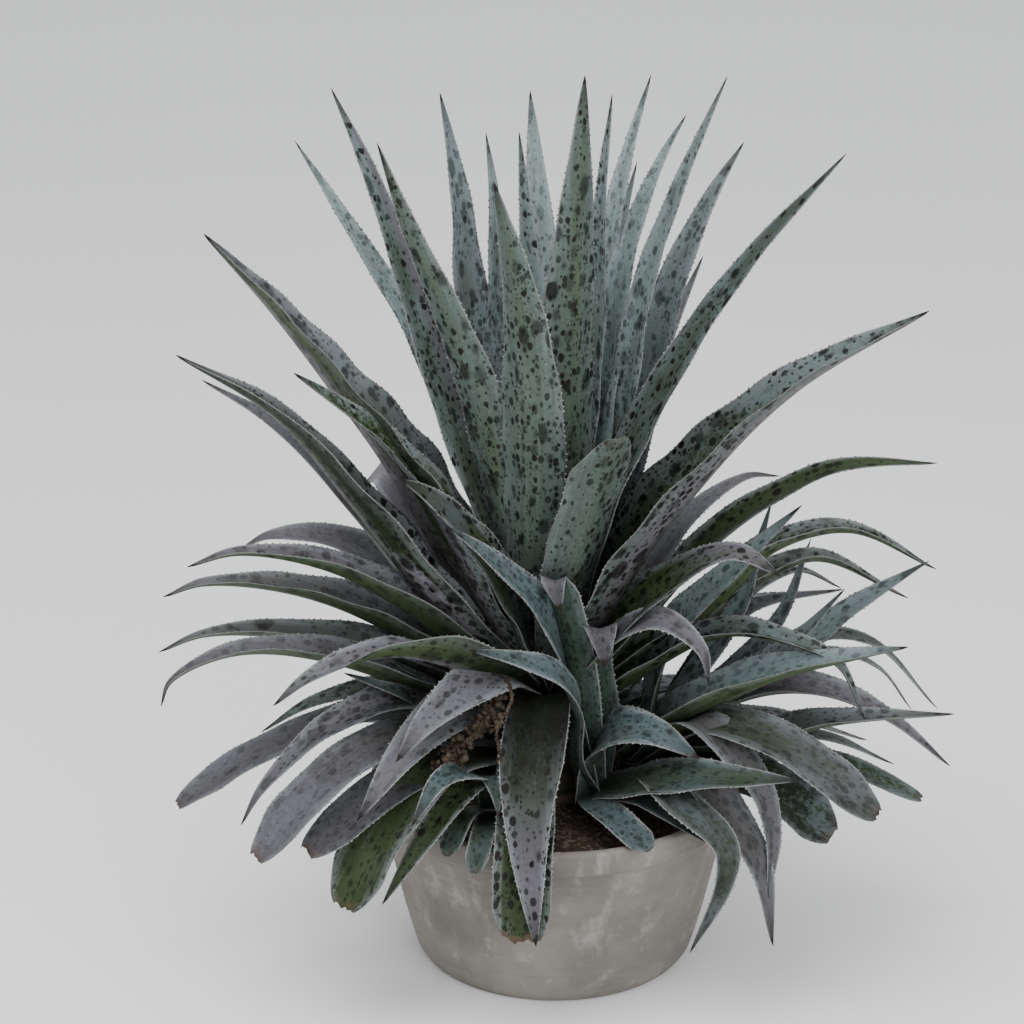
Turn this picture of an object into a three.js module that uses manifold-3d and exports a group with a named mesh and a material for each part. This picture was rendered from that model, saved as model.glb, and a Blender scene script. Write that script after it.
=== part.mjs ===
// Potted mangave, a hybrid succulent with arching toothed leaves, in a plain low pot.
// Millimetres, +Z up. The origin is the middle of the pot's foot, on the surface it stands on.
// +X is the plant's right and +Y its back, as it is seen from the front.

import * as THREE from 'three';
import { mergeVertices } from 'three/addons/utils/BufferGeometryUtils.js';
import Module from 'manifold-3d';

const wasm = await Module();
wasm.setup();

// Pot
const POT_HEIGHT = 190;
const POT_FOOT_RADIUS = 140;
const POT_RIM_RADIUS = 190;
const POT_WALL = 10;
const POT_FLOOR = 14;
const RIM_BAND_HEIGHT = 24;
const RIM_BAND_PROUD = 5;
const FOOT_CHAMFER = 4;
const POT_SIDES = 44;
const DRAIN_RADIUS = 7;
const DRAIN_RING_RADIUS = 70;
const DRAIN_COUNT = 5;

// Soil
const SOIL_LEVEL = 175;
const SOIL_MOUND = 5;
const SOIL_WAVE = 2.5;
const SOIL_SIDES = 24;
const STEM_DEPTH_IN_SOIL = 45;

// Clearance between pieces that touch
const GAP = 0.3;
const MARGIN_CLEARANCE = 3;
const FACE_CLEARANCE = 1.8;

// Main stem: a short stout stem that the leaf bases clasp, with the heart of young leaves on top
const STEM_RADIUS_AT_SOIL = 44;
const STEM_RADIUS_AT_TOP = 33;
const STEM_RISE = 104;
const HEART_RADIUS = 27;
const HEART_RISE = 158;
const STEM_SIDES = 12;
const LOWEST_ROOT_RISE = 16;
const HIGHEST_ROOT_RISE = 92;

// Leaf blades
const BASE_THICKNESS = 9;
const TIP_THICKNESS = 2.2;
const TOOTH_DEPTH = 1.3;
const BASE_WIDTH_SHARE = 0.62;
const CLASPING_WIDTH_SHARE = 0.85;
const FULL_WIDTH_AT = 0.42;
const TAPER_SHARE = 0.52;
const TAPER_POWER = 0.8;
const BLUNT_SHARE = 0.13;
const ROLL_AT_BASE = 0.55;
const TIP_ROLL_FROM = 0.35;
const FOLD = 0.4;
const FOLD_LEFT_AT_TIP = 0.7;
const KEEL_SHARE = 0.5;
const KEEL_FROM = 0.35;
const STATION_LENGTH = 47;
const FEWEST_STATIONS = 6;
const MOST_STATIONS = 9;

// Where the plant is looked at from. Points of the leaves are given as they are seen from here:
// across and up in millimetres on the plane that faces the viewer, from the soil's middle.
const VIEW_DISTANCE = 3000;
const VIEW_TILT = THREE.MathUtils.degToRad(20);
const VIEW_CENTRE = new THREE.Vector3(-44, 0, 476);
const SOIL_MIDDLE_ACROSS = 44;
const SOIL_MIDDLE_UP = -273;

const RIGHT = new THREE.Vector3(1, 0, 0);
const UP = new THREE.Vector3(0, 0, 1);
const VIEW_UP = new THREE.Vector3(0, Math.sin(VIEW_TILT), Math.cos(VIEW_TILT));
const EYE = new THREE.Vector3(0, -Math.cos(VIEW_TILT), Math.sin(VIEW_TILT))
  .multiplyScalar(VIEW_DISTANCE)
  .add(VIEW_CENTRE);

// The point that is seen at across and up, at the given distance behind the plant's axis
function seen(across, up, back) {
  const sight = VIEW_CENTRE.clone()
    .addScaledVector(RIGHT, across + SOIL_MIDDLE_ACROSS)
    .addScaledVector(VIEW_UP, up + SOIL_MIDDLE_UP);
  const reach = (back - EYE.y) / (sight.y - EYE.y);
  return EYE.clone().lerp(sight, reach);
}

// Finishes
const finish = {
  pot: { color: 0x8f8a82, roughness: 0.8, metalness: 0 },
  soil: { color: 0x4a3b2e, roughness: 0.95, metalness: 0 },
  stem: { color: 0x7d7f6a, roughness: 0.8, metalness: 0 },
  dry: { color: 0x6b4a34, roughness: 0.9, metalness: 0 },
  blue: { color: 0x7f9793, roughness: 0.55, metalness: 0 },
  lavender: { color: 0x8c8795, roughness: 0.6, metalness: 0 },
  teal: { color: 0x6f9488, roughness: 0.55, metalness: 0 },
  green: { color: 0x5d6e52, roughness: 0.6, metalness: 0 },
};

// Leaves. Each way runs from where the leaf leaves the stem to its tip: [across, up, back].
// wide is the blade's full width, roll turns its upper face to the front, in degrees.
const heartLeaves = [
  { wide: 44, roll: 30, way: [[-136, 445, 45], [-191, 535, 55], [-261, 644, 70]] },
  { wide: 54, roll: 50, way: [[-124, 435, -8], [-156, 530, -8], [-188, 615, -10], [-225, 697, -12]] },
  { wide: 52, roll: -45, way: [[-76, 385, -50], [-106, 465, -58], [-146, 555, -66], [-179, 642, -80]] },
  { wide: 64, taper: 0.45, way: [[-78, 425, 45], [-88, 495, 60], [-98, 595, 78], [-116, 692, 95]] },
  { wide: 46, way: [[-54, 425, 70], [-59, 525, 85], [-63, 595, 92], [-70, 652, 100]] },
  { wide: 68, taper: 0.42, way: [[-23, 215, -45], [-25, 345, -75], [-34, 475, -95], [-62, 603, -120]] },
  { wide: 50, taper: 0.42, way: [[-11, 455, 95], [-16, 545, 118], [-26, 695, 150]] },
  { wide: 42, way: [[-16, 455, 40], [-26, 525, 60], [-37, 654, 95]] },
  { wide: 60, taper: 0.36, way: [[12, 265, -25], [14, 445, -35], [24, 615, -42], [29, 710, -45]] },
  { wide: 46, taper: 0.42, way: [[42, 485, 20], [44, 565, 24], [56, 690, 30]] },
  { wide: 54, way: [[49, 515, 62], [69, 620, 72], [95, 710, 85]] },
  { wide: 42, way: [[56, 515, 95], [69, 575, 105], [81, 623, 120]] },
  { wide: 54, roll: 15, way: [[48, 415, 20], [71, 535, 45], [105, 625, 60], [130, 670, 70]] },
  { wide: 46, roll: 38, way: [[64, 365, -8], [89, 500, -5], [126, 605, -3], [171, 708, -5]] },
  { wide: 60, roll: 28, way: [[84, 385, 50], [114, 495, 60], [156, 590, 72], [188, 643, 85]] },
  { wide: 44, way: [[92, 385, 95], [109, 440, 110], [147, 529, 150]] },
];

const stemLeaves = {
  leaf_right_high: {
    wide: 48, roll: 48,
    way: [[54, 285, -45], [114, 410, -55], [189, 520, -70], [290, 631, -95]],
  },
  leaf_right_broad: {
    wide: 86, roll: 12, fold: 1,
    way: [[64, 225, -60], [139, 317, -75], [234, 400, -75], [373, 474, -60]],
  },
  leaf_right_green: {
    wide: 46, roll: 24, fold: 0.6,
    way: [[149, 240, -28], [179, 265, -30], [279, 317, -40], [381, 322, -55]],
  },
  leaf_right_inner: { wide: 34, roll: 30, way: [[129, 265, 40], [189, 308, 60], [224, 309, 72]] },
  leaf_front_short: {
    wide: 62, roll: 10, blunt: true,
    way: [[14, 205, -70], [37, 281, -110], [52, 320, -134], [74, 346, -156]],
  },
  leaf_right_front: {
    wide: 66, roll: 44, tipRoll: 24, more: 2,
    way: [[54, 152, -60], [109, 202, -85], [179, 232, -115], [225, 209, -150]],
  },
  leaf_right_arch_1: {
    wide: 46, roll: 2, fold: 1,
    way: [[164, 195, 0], [214, 240, 5], [294, 257, 5], [380, 216, 0]],
  },
  leaf_right_arch_2: {
    wide: 42, roll: 2, fold: 1,
    way: [[189, 200, 40], [259, 229, 50], [352, 187, 60]],
  },
  leaf_right_arch_3: {
    wide: 34, roll: 6, fold: 0.8,
    way: [[219, 208, 85], [246, 215, 95], [285, 197, 110]],
  },
  leaf_right_drooping: {
    wide: 40, roll: 8, fold: 0.8,
    way: [[150, 152, -48], [209, 152, -66], [282, 121, -84], [309, 65, -92]],
  },
  leaf_right_lavender: {
    wide: 46, roll: 40,
    way: [[54, 145, -85], [104, 166, -110], [146, 135, -140], [153, 100, -150]],
  },
  leaf_left_front_1: {
    wide: 66, roll: 62,
    way: [[-50, 195, -84], [-92, 256, -116], [-126, 288, -140], [-154, 304, -168]],
  },
  leaf_left_high_1: {
    wide: 76, roll: 22, fold: 0.7,
    way: [[-106, 265, -40], [-171, 345, -55], [-262, 412, -80]],
  },
  leaf_left_high_2: {
    wide: 98, roll: 4, fold: 1,
    way: [[-136, 305, -8], [-211, 400, -15], [-281, 480, -22], [-352, 551, -30]],
  },
  leaf_left_1: {
    wide: 68, roll: 4, fold: 1,
    way: [[-116, 195, -50], [-196, 290, -62], [-276, 372, -75], [-380, 430, -90]],
  },
  leaf_left_2: {
    wide: 50, roll: 18, fold: 0.7,
    way: [[-126, 190, -2], [-206, 285, 6], [-281, 360, 12], [-354, 405, 20]],
  },
  leaf_left_inner_1: {
    wide: 66, roll: 24,
    way: [[-101, 195, 20], [-146, 268, 38], [-172, 308, 66], [-188, 300, 112]],
  },
  leaf_left_inner_2: {
    wide: 50, roll: 15,
    way: [[-76, 175, 85], [-112, 245, 106], [-136, 284, 130], [-154, 288, 170]],
  },
  leaf_left_arch_1: {
    wide: 54, roll: 4, fold: 1,
    way: [[-116, 167, -55], [-216, 219, -75], [-316, 233, -90], [-369, 218, -100]],
  },
  leaf_left_arch_2: {
    wide: 64, roll: 20, fold: 0.7,
    way: [[-126, 187, 42], [-216, 244, 48], [-286, 249, 50], [-316, 236, 52]],
  },
  leaf_left_arch_3: {
    wide: 56, roll: 4, fold: 1,
    way: [[-156, 163, -22], [-256, 197, -36], [-351, 202, -48], [-393, 188, -55]],
  },
  leaf_left_arch_4: {
    wide: 50, roll: 4, fold: 1,
    way: [[-156, 130, -25], [-251, 152, -32], [-351, 151, -36], [-397, 133, -40]],
  },
  leaf_left_arch_5: {
    wide: 50, roll: 4, fold: 0.95,
    way: [[-216, 130, -75], [-321, 134, -85], [-386, 103, -90], [-395, 79, -92]],
  },
  leaf_left_toothed: {
    wide: 58, roll: -34, tipRoll: 16, fold: 0.9,
    way: [[-86, 125, -95], [-166, 137, -125], [-246, 107, -150], [-283, 79, -165]],
  },
  leaf_left_low_1: {
    wide: 50, roll: 12, fold: 0.6,
    way: [[-156, 85, -85], [-231, 55, -110], [-294, -5, -128], [-315, -40, -135]],
  },
  leaf_left_low_2: {
    wide: 44, roll: 22, blunt: true,
    way: [[-176, 75, -40], [-276, 43, -60], [-351, 0, -75], [-381, -23, -80]],
  },
  leaf_left_low_3: { wide: 38, roll: 20, way: [[-156, 96, 0], [-236, 86, -5], [-295, 53, -10]] },
  leaf_left_low_4: {
    wide: 60, roll: 18, blunt: true,
    way: [[-161, 47, -120], [-236, 2, -150], [-303, -77, -175]],
  },
  leaf_left_low_5: {
    wide: 48, roll: 20, blunt: true,
    way: [[-146, 10, -140], [-221, -45, -170], [-253, -70, -180]],
  },
  leaf_front_low_1: {
    wide: 66, roll: 10, blunt: true,
    way: [[-112, 22, -135], [-174, -45, -178], [-214, -127, -205]],
  },
  leaf_front_low_2: {
    wide: 44, roll: 12,
    way: [[-88, 4, -145], [-134, -58, -190], [-174, -120, -220]],
  },
  leaf_front_lavender_1: {
    wide: 58, roll: 30,
    way: [[-56, 113, -90], [-126, 67, -160], [-160, 23, -195]],
  },
  leaf_front_lavender_2: {
    wide: 58, roll: 28,
    way: [[-86, 84, -95], [-150, 34, -162], [-199, -36, -200]],
  },
  leaf_front_hanging_1: {
    wide: 64,
    way: [
      [-12, 88, -84], [-19, 58, -122], [-27, -2, -172],
      [-28, -52, -204], [-25, -104, -226], [-20, -162, -240],
    ],
  },
  leaf_front_hanging_2: {
    wide: 58, blunt: true,
    way: [[-28, 40, -95], [-30, -35, -165], [-32, -65, -200], [-34, -115, -218], [-33, -165, -222]],
  },
};

const rightLeaves = [
  { wide: 42, roll: 38, way: [[112, 150, -15], [179, 218, -25], [246, 280, -35]] },
  { wide: 28, roll: 30, way: [[184, 180, 15], [196, 215, 25], [216, 285, 35]] },
  { wide: 26, roll: 25, way: [[219, 160, 45], [255, 246, 65]] },
  { wide: 42, roll: 30, way: [[259, 150, 10], [294, 177, 12], [373, 224, 15]] },
  { wide: 34, roll: 28, way: [[224, 130, -25], [289, 196, -30]] },
  { wide: 28, roll: 20, way: [[186, 173, 70], [280, 195, 95]] },
  {
    wide: 58, roll: 10, fold: 0.9,
    way: [[124, 75, -60], [204, 110, -85], [304, 130, -105], [352, 138, -115]],
  },
  { wide: 28, roll: 18, way: [[244, 145, 40], [314, 144, 45], [381, 77, 50]] },
  { wide: 24, roll: 15, way: [[264, 133, 75], [322, 118, 85], [355, 76, 95]] },
  { wide: 42, roll: 8, fold: 0.8, way: [[194, 47, -35], [274, 65, -50], [398, 71, -60]] },
  { wide: 42, roll: 16, fold: 0.8, way: [[179, 90, -15], [254, 99, -20], [329, 70, -25], [394, 19, -30]] },
  { wide: 28, roll: 15, way: [[259, 50, 20], [338, 21, 30]] },
  { wide: 30, roll: 18, blunt: true, way: [[259, 28, -30], [368, -15, -45]] },
  { wide: 48, roll: 22, blunt: true, way: [[159, 63, -95], [234, 37, -125], [324, -33, -150]] },
  { wide: 56, roll: 24, blunt: true, way: [[204, 5, -75], [279, -53, -95]] },
  { wide: 46, way: [[144, 63, -100], [202, 0, -135], [216, -45, -155], [212, -115, -180]] },
  { wide: 50, way: [[144, 5, -125], [201, -75, -170], [217, -161, -190]] },
  { wide: 38, way: [[114, -10, -150], [169, -60, -185], [169, -95, -200], [134, -168, -212]] },
];

const frontPupLeaves = [
  { wide: 50, roll: 58, way: [[17, 95, -72], [-13, 175, -105], [-74, 234, -150], [-110, 259, -172]] },
  {
    wide: 44, roll: 46,
    way: [[18, 30, -86], [22, 78, -104], [2, 110, -130], [-38, 125, -155], [-87, 135, -178]],
  },
  { wide: 40, taper: 0.2, more: 3, way: [[30, 45, -62], [16, 145, -86], [-2, 206, -108], [5, 172, -130]] },
  { wide: 42, taper: 0.22, more: 3, way: [[44, 65, -56], [36, 125, -72], [44, 158, -96], [49, 117, -124]] },
  { wide: 54, roll: 38, way: [[40, 38, -78], [62, 56, -100], [100, 52, -126], [144, 26, -155]] },
  { wide: 50, roll: 30, way: [[84, 2, -118], [134, 8, -152], [244, 4, -205]] },
  { wide: 30, roll: 20, blunt: true, way: [[39, -18, -105], [64, -37, -145], [95, -66, -190]] },
  { wide: 32, way: [[84, -15, -120], [109, -30, -145], [156, -60, -180]] },
];

const leftFrontPupLeaves = [
  { wide: 34, roll: 20, way: [[-84, 12, -150], [-116, 4, -190], [-145, -42, -226]] },
  { wide: 24, blunt: true, way: [[-91, -30, -150], [-110, -72, -195]] },
  { wide: 24, blunt: true, way: [[-73, -50, -170], [-83, -90, -205]] },
  { wide: 24, way: [[-67, 8, -140], [-60, -12, -176], [-57, -34, -196]] },
];

const leftPupLeaves = [
  { wide: 36, roll: 40, way: [[-126, 74, -30], [-152, 90, -82], [-212, 112, -116]] },
  { wide: 30, roll: 30, way: [[-120, 92, -10], [-138, 108, -50], [-166, 122, -84]] },
  { wide: 32, roll: 20, way: [[-140, 70, 0], [-181, 91, -20]] },
  { wide: 26, way: [[-125, 90, 30], [-135, 124, 25]] },
];

// Offsets, the side rosettes that grow beside the main stem: where each stands and how tall it is
const offsets = {
  right_rosette: { x: 89, y: -6, radius: 26, rise: 64, colour: 'lavender', leaves: rightLeaves },
  front_pup: { x: 36, y: -56, radius: 14, rise: 30, colour: 'teal', leaves: frontPupLeaves },
  left_front_pup: { x: -66, y: -92, radius: 11, rise: 22, colour: 'teal', leaves: leftFrontPupLeaves },
  left_pup: { x: -120, y: 30, radius: 13, rise: 34, colour: 'teal', leaves: leftPupLeaves },
  back_pup: { x: 62, y: 118, radius: 16, rise: 36, colour: 'teal', leaves: [] },
};
const BACK_PUP_LEAVES = 9;
const BACK_PUP_LEAF_LENGTH = 120;
const BACK_PUP_LEAF_WIDTH = 34;

// Leaves on the far side, in three tiers from the lowest to the steepest
const backTiers = [
  { count: 6, from: 20, to: 162, slope: 20, droop: 36, length: 355, rise: 26 },
  { count: 5, from: 34, to: 148, slope: 36, droop: 34, length: 400, rise: 52 },
  { count: 4, from: 52, to: 130, slope: 47, droop: 24, length: 350, rise: 78 },
];
const BACK_LEAF_WIDTH = 52;

// Dried remains of an old flower stalk: a bent stalk with knobbly buds along it
const REMAINS_STALK_RADIUS = 3;
const REMAINS_BUD_RADIUS = 4.6;
const REMAINS_BUDS = 7;
const remainsWay = [[-52, 98, -96], [-64, 80, -124], [-78, 54, -142], [-96, 38, -150], [-110, 22, -158]];

// A random number in 0..1 that is the same on every run
function seededRandom(seed) {
  let state = seed;
  return () => {
    state = (state * 1664525 + 1013904223) % 4294967296;
    return state / 4294967296;
  };
}

const smooth = (t) => THREE.MathUtils.smoothstep(t, 0, 1);
const mix = THREE.MathUtils.lerp;

// A closed solid from loose vertices and triangles, turned to face outwards
function solidFrom(vertices, triangles) {
  let volume = 0;
  for (const [a, b, c] of triangles) {
    volume += vertices[a].dot(vertices[b].clone().cross(vertices[c]));
  }
  const faces = volume < 0 ? triangles.map(([a, b, c]) => [a, c, b]) : triangles;
  return new wasm.Manifold(new wasm.Mesh({
    numProp: 3,
    vertProperties: new Float32Array(vertices.flatMap((v) => [v.x, v.y, v.z])),
    triVerts: new Uint32Array(faces.flat()),
  }));
}

// A closed solid from a three.js geometry, with its shared vertices merged
function solidOf(geometry) {
  geometry.deleteAttribute('normal');
  geometry.deleteAttribute('uv');
  const merged = mergeVertices(geometry, 1e-3);
  const place = merged.attributes.position;
  const vertices = [];
  for (let i = 0; i < place.count; i += 1) {
    vertices.push(new THREE.Vector3().fromBufferAttribute(place, i));
  }
  const triangles = [];
  for (let i = 0; i < merged.index.count; i += 3) {
    const [a, b, c] = [0, 1, 2].map((k) => merged.index.getX(i + k));
    if (a !== b && b !== c && c !== a) {
      triangles.push([a, b, c]);
    }
  }
  return solidFrom(vertices, triangles);
}

// A turned solid from a profile of [radius, height] that starts and ends on the axis
function turned(profile, sides, x = 0, y = 0) {
  const points = profile.map(([radius, height]) => new THREE.Vector2(radius, height));
  const geometry = new THREE.LatheGeometry(points, sides);
  geometry.rotateX(Math.PI / 2);
  geometry.translate(x, y, 0);
  return solidOf(geometry);
}

function largestBody(solid) {
  const bodies = solid.decompose();
  return bodies.reduce((best, body) => (body.volume() > best.volume() ? body : best));
}

const joined = (solids) => solids.reduce((sum, solid) => sum.add(solid));

// The spine of a leaf: from inside its stem, through its way, to the tip
function spineOf(leaf, centre, rise, sunk) {
  const way = leaf.way.map((place) => (place.isVector3 ? place : seen(...place)));
  const out = way[0].clone().sub(centre).setZ(0).normalize();
  const root = centre.clone().addScaledVector(out, sunk).setZ(SOIL_LEVEL + rise);
  return new THREE.CatmullRomCurve3([root, ...way], false, 'centripetal');
}

// Half the blade's width at a share of its length, with its small marginal teeth
function halfWidth(leaf, share, station) {
  const base = mix(leaf.base ?? BASE_WIDTH_SHARE, 1, smooth(share / FULL_WIDTH_AT));
  const taper = leaf.blunt
    ? Math.sqrt(Math.min(1, (1 - share) / BLUNT_SHARE))
    : Math.min(1, (1 - share) / (leaf.taper ?? TAPER_SHARE)) ** TAPER_POWER;
  const tooth = station % 2 ? TOOTH_DEPTH : 0;
  return Math.max(0.5 * leaf.wide * base * taper - tooth * taper, 0.4);
}

// A leaf blade: a channelled upper face, a keeled lower face and toothed margins. fold is how
// steep its two halves rise from the middle, tipRoll its roll at the tip, where that differs, and
// more the stations that a sharp bend takes on top of what its length needs.
// grow makes it larger all round, for cutting its neighbours clear of it.
function blade(leaf, spine, grow = 0) {
  const length = spine.getLength();
  const wanted = Math.round(length / STATION_LENGTH);
  const needed = THREE.MathUtils.clamp(wanted, FEWEST_STATIONS, MOST_STATIONS);
  const stations = needed + (leaf.more ?? 0);
  const root = spine.getPoint(0);
  const tip = spine.getPoint(1);
  const out = tip.clone().sub(root).setZ(0).normalize();
  const side = new THREE.Vector3(out.y, -out.x, 0);
  const sense = out.x < 0 ? -1 : 1;
  const roll = THREE.MathUtils.degToRad(leaf.roll ?? 0) * sense;
  const tipRoll = THREE.MathUtils.degToRad(leaf.tipRoll ?? leaf.roll ?? 0) * sense;
  const vertices = [];
  for (let i = 0; i < stations; i += 1) {
    const share = i / stations;
    const place = spine.getPointAt(share);
    const along = spine.getTangentAt(share);
    const across = side.clone().addScaledVector(along, -side.dot(along)).normalize();
    const turn = roll * mix(ROLL_AT_BASE, 1, smooth(share * 1.6));
    const towardsTip = smooth((share - TIP_ROLL_FROM) / (1 - TIP_ROLL_FROM));
    across.applyAxisAngle(along, mix(turn, tipRoll, towardsTip));
    const normal = across.clone().cross(along);
    const half = halfWidth(leaf, share, i);
    const reach = half + grow * MARGIN_CLEARANCE;
    const thickness = mix(BASE_THICKNESS, TIP_THICKNESS, smooth(share));
    const thick = 0.5 * thickness + grow * FACE_CLEARANCE;
    const rise = (leaf.fold ?? FOLD) * mix(1, FOLD_LEFT_AT_TIP, share);
    const keel = half * rise * KEEL_SHARE * smooth(share / KEEL_FROM);
    const lift = reach * rise - keel;
    vertices.push(place.clone().addScaledVector(across, -reach).addScaledVector(normal, lift));
    vertices.push(place.clone().addScaledVector(normal, thick - keel));
    vertices.push(place.clone().addScaledVector(across, reach).addScaledVector(normal, lift));
    vertices.push(place.clone().addScaledVector(normal, -thick - keel));
  }
  const end = vertices.length;
  vertices.push(tip.clone().addScaledVector(spine.getTangentAt(1), grow * MARGIN_CLEARANCE));
  const triangles = [[0, 3, 1], [1, 3, 2]];
  for (let i = 0; i < stations - 1; i += 1) {
    const here = 4 * i;
    const next = here + 4;
    for (const margin of [0, 2]) {
      for (const middle of [1, 3]) {
        const turnedRound = (margin === 0) === (middle === 1);
        const first = [here + margin, here + middle, next + middle];
        const second = [here + margin, next + middle, next + margin];
        triangles.push(turnedRound ? first : first.reverse());
        triangles.push(turnedRound ? second : second.reverse());
      }
    }
  }
  const last = end - 4;
  triangles.push([last, last + 1, end], [last + 1, last + 2, end]);
  triangles.push([last + 2, last + 3, end], [last + 3, last, end]);
  return solidFrom(vertices, triangles);
}

// A stem: a turned solid that stands in the soil, with a domed top
function stem(x, y, radius, topRadius, from, to, grow = 0) {
  const dome = topRadius * 0.35;
  return turned([
    [0, from - grow],
    [radius + grow, from - grow],
    [radius + grow, SOIL_LEVEL],
    [topRadius + grow, to - dome + grow],
    [topRadius * 0.6 + grow, to - dome * 0.25 + grow],
    [0, to + grow],
  ], STEM_SIDES, x, y);
}

// A head: a short stem with its leaves fused to it
function head({ x, y, radius, rise, leaves }, from, grow) {
  const centre = new THREE.Vector3(x, y, 0);
  const core = stem(x, y, radius, radius * 0.7, from, SOIL_LEVEL + rise, grow);
  const blades = leaves.map((leaf, i) => {
    const share = leaves.length > 1 ? i / (leaves.length - 1) : 0;
    const height = rise * mix(0.86, 0.4, share);
    const clasping = { base: CLASPING_WIDTH_SHARE, ...leaf };
    return blade(clasping, spineOf(leaf, centre, height, radius * 0.2), grow);
  });
  return joined([core, ...blades]);
}

// Leaves of the offset at the back: a small rosette by rule
function ringOfLeaves({ x, y, rise }, count, length, wide, random) {
  return Array.from({ length: count }, (unused, i) => {
    const turn = (i * 137.5 * Math.PI) / 180;
    const slope = THREE.MathUtils.degToRad(mix(66, 22, i / (count - 1)) + 8 * (random() - 0.5));
    const reach = length * mix(0.75, 1, i / (count - 1));
    const out = new THREE.Vector3(Math.cos(turn), Math.sin(turn), 0);
    const start = new THREE.Vector3(x, y, SOIL_LEVEL + rise * 0.7);
    const middle = start.clone().addScaledVector(out, 0.5 * reach * Math.cos(slope))
      .addScaledVector(UP, 0.5 * reach * Math.sin(slope));
    const end = start.clone().addScaledVector(out, reach * Math.cos(slope * 0.75))
      .addScaledVector(UP, reach * Math.sin(slope * 0.75));
    return { wide, way: [middle, end] };
  });
}

// One leaf of the far side, arching out from the stem and down towards its tip
function backLeaf(tier, i, random) {
  const share = tier.count > 1 ? i / (tier.count - 1) : 0.5;
  const turn = THREE.MathUtils.degToRad(mix(tier.from, tier.to, share) + 6 * (random() - 0.5));
  const length = tier.length * mix(0.92, 1.06, random());
  const out = new THREE.Vector3(Math.cos(turn), Math.sin(turn), 0);
  const place = new THREE.Vector3(0, 0, SOIL_LEVEL + tier.rise);
  const way = [];
  for (let step = 1; step <= 3; step += 1) {
    const slope = THREE.MathUtils.degToRad(tier.slope + 12 - (tier.droop * step) / 2);
    place.addScaledVector(out, (length / 3) * Math.cos(slope));
    place.addScaledVector(UP, (length / 3) * Math.sin(slope));
    way.push(place.clone());
  }
  return { wide: BACK_LEAF_WIDTH * mix(0.85, 1.08, random()), way, rise: tier.rise };
}

// How high a leaf is rooted on the main stem: the steeper it rises, the higher
function rootRise(leaf) {
  const first = seen(...leaf.way[0]);
  const slope = Math.atan2(first.z - SOIL_LEVEL - 60, Math.hypot(first.x, first.y));
  return mix(LOWEST_ROOT_RISE, HIGHEST_ROOT_RISE, smooth((slope + 0.35) / 1.35));
}

// Pot: a plain low bowl with a rim band and off-centre drain holes
function makePot() {
  const innerFoot = POT_FOOT_RADIUS - POT_WALL;
  const innerRim = POT_RIM_RADIUS - POT_WALL;
  const underBand = POT_HEIGHT - RIM_BAND_HEIGHT;
  const underRim = POT_RIM_RADIUS - RIM_BAND_PROUD;
  const wallAt = (height) => mix(POT_FOOT_RADIUS, underRim, (height / POT_HEIGHT) ** 0.8);
  const bowl = turned([
    [0, 0],
    [POT_FOOT_RADIUS - FOOT_CHAMFER, 0],
    [POT_FOOT_RADIUS, FOOT_CHAMFER],
    [wallAt(60), 60],
    [wallAt(120), 120],
    [wallAt(underBand - 4), underBand - 4],
    [POT_RIM_RADIUS, underBand],
    [POT_RIM_RADIUS, POT_HEIGHT - 4],
    [POT_RIM_RADIUS - 4, POT_HEIGHT],
    [innerRim + 3, POT_HEIGHT],
    [innerRim, POT_HEIGHT - 3],
    [mix(innerFoot, innerRim, 0.55), 90],
    [innerFoot, POT_FLOOR + 8],
    [innerFoot - 8, POT_FLOOR],
    [0, POT_FLOOR],
  ], POT_SIDES);
  let pot = bowl;
  for (let i = 0; i < DRAIN_COUNT; i += 1) {
    const turn = (i / DRAIN_COUNT) * 2 * Math.PI;
    const drain = new THREE.CylinderGeometry(DRAIN_RADIUS, DRAIN_RADIUS, POT_FLOOR * 3, 12);
    drain.rotateX(Math.PI / 2);
    drain.translate(DRAIN_RING_RADIUS * Math.cos(turn), DRAIN_RING_RADIUS * Math.sin(turn), 0);
    pot = pot.subtract(solidOf(drain));
  }
  return pot;
}

// The space round the rim that leaves keep clear of
function rimGuard() {
  const inside = POT_RIM_RADIUS - POT_WALL - GAP;
  const outside = POT_RIM_RADIUS + GAP;
  const under = POT_HEIGHT - RIM_BAND_HEIGHT;
  return turned([
    [inside, POT_FLOOR * 2],
    [POT_FOOT_RADIUS + GAP, POT_FLOOR * 2],
    [outside, under - GAP],
    [outside, POT_HEIGHT + GAP],
    [inside, POT_HEIGHT + GAP],
    [inside, POT_FLOOR * 2],
  ], POT_SIDES);
}

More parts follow.
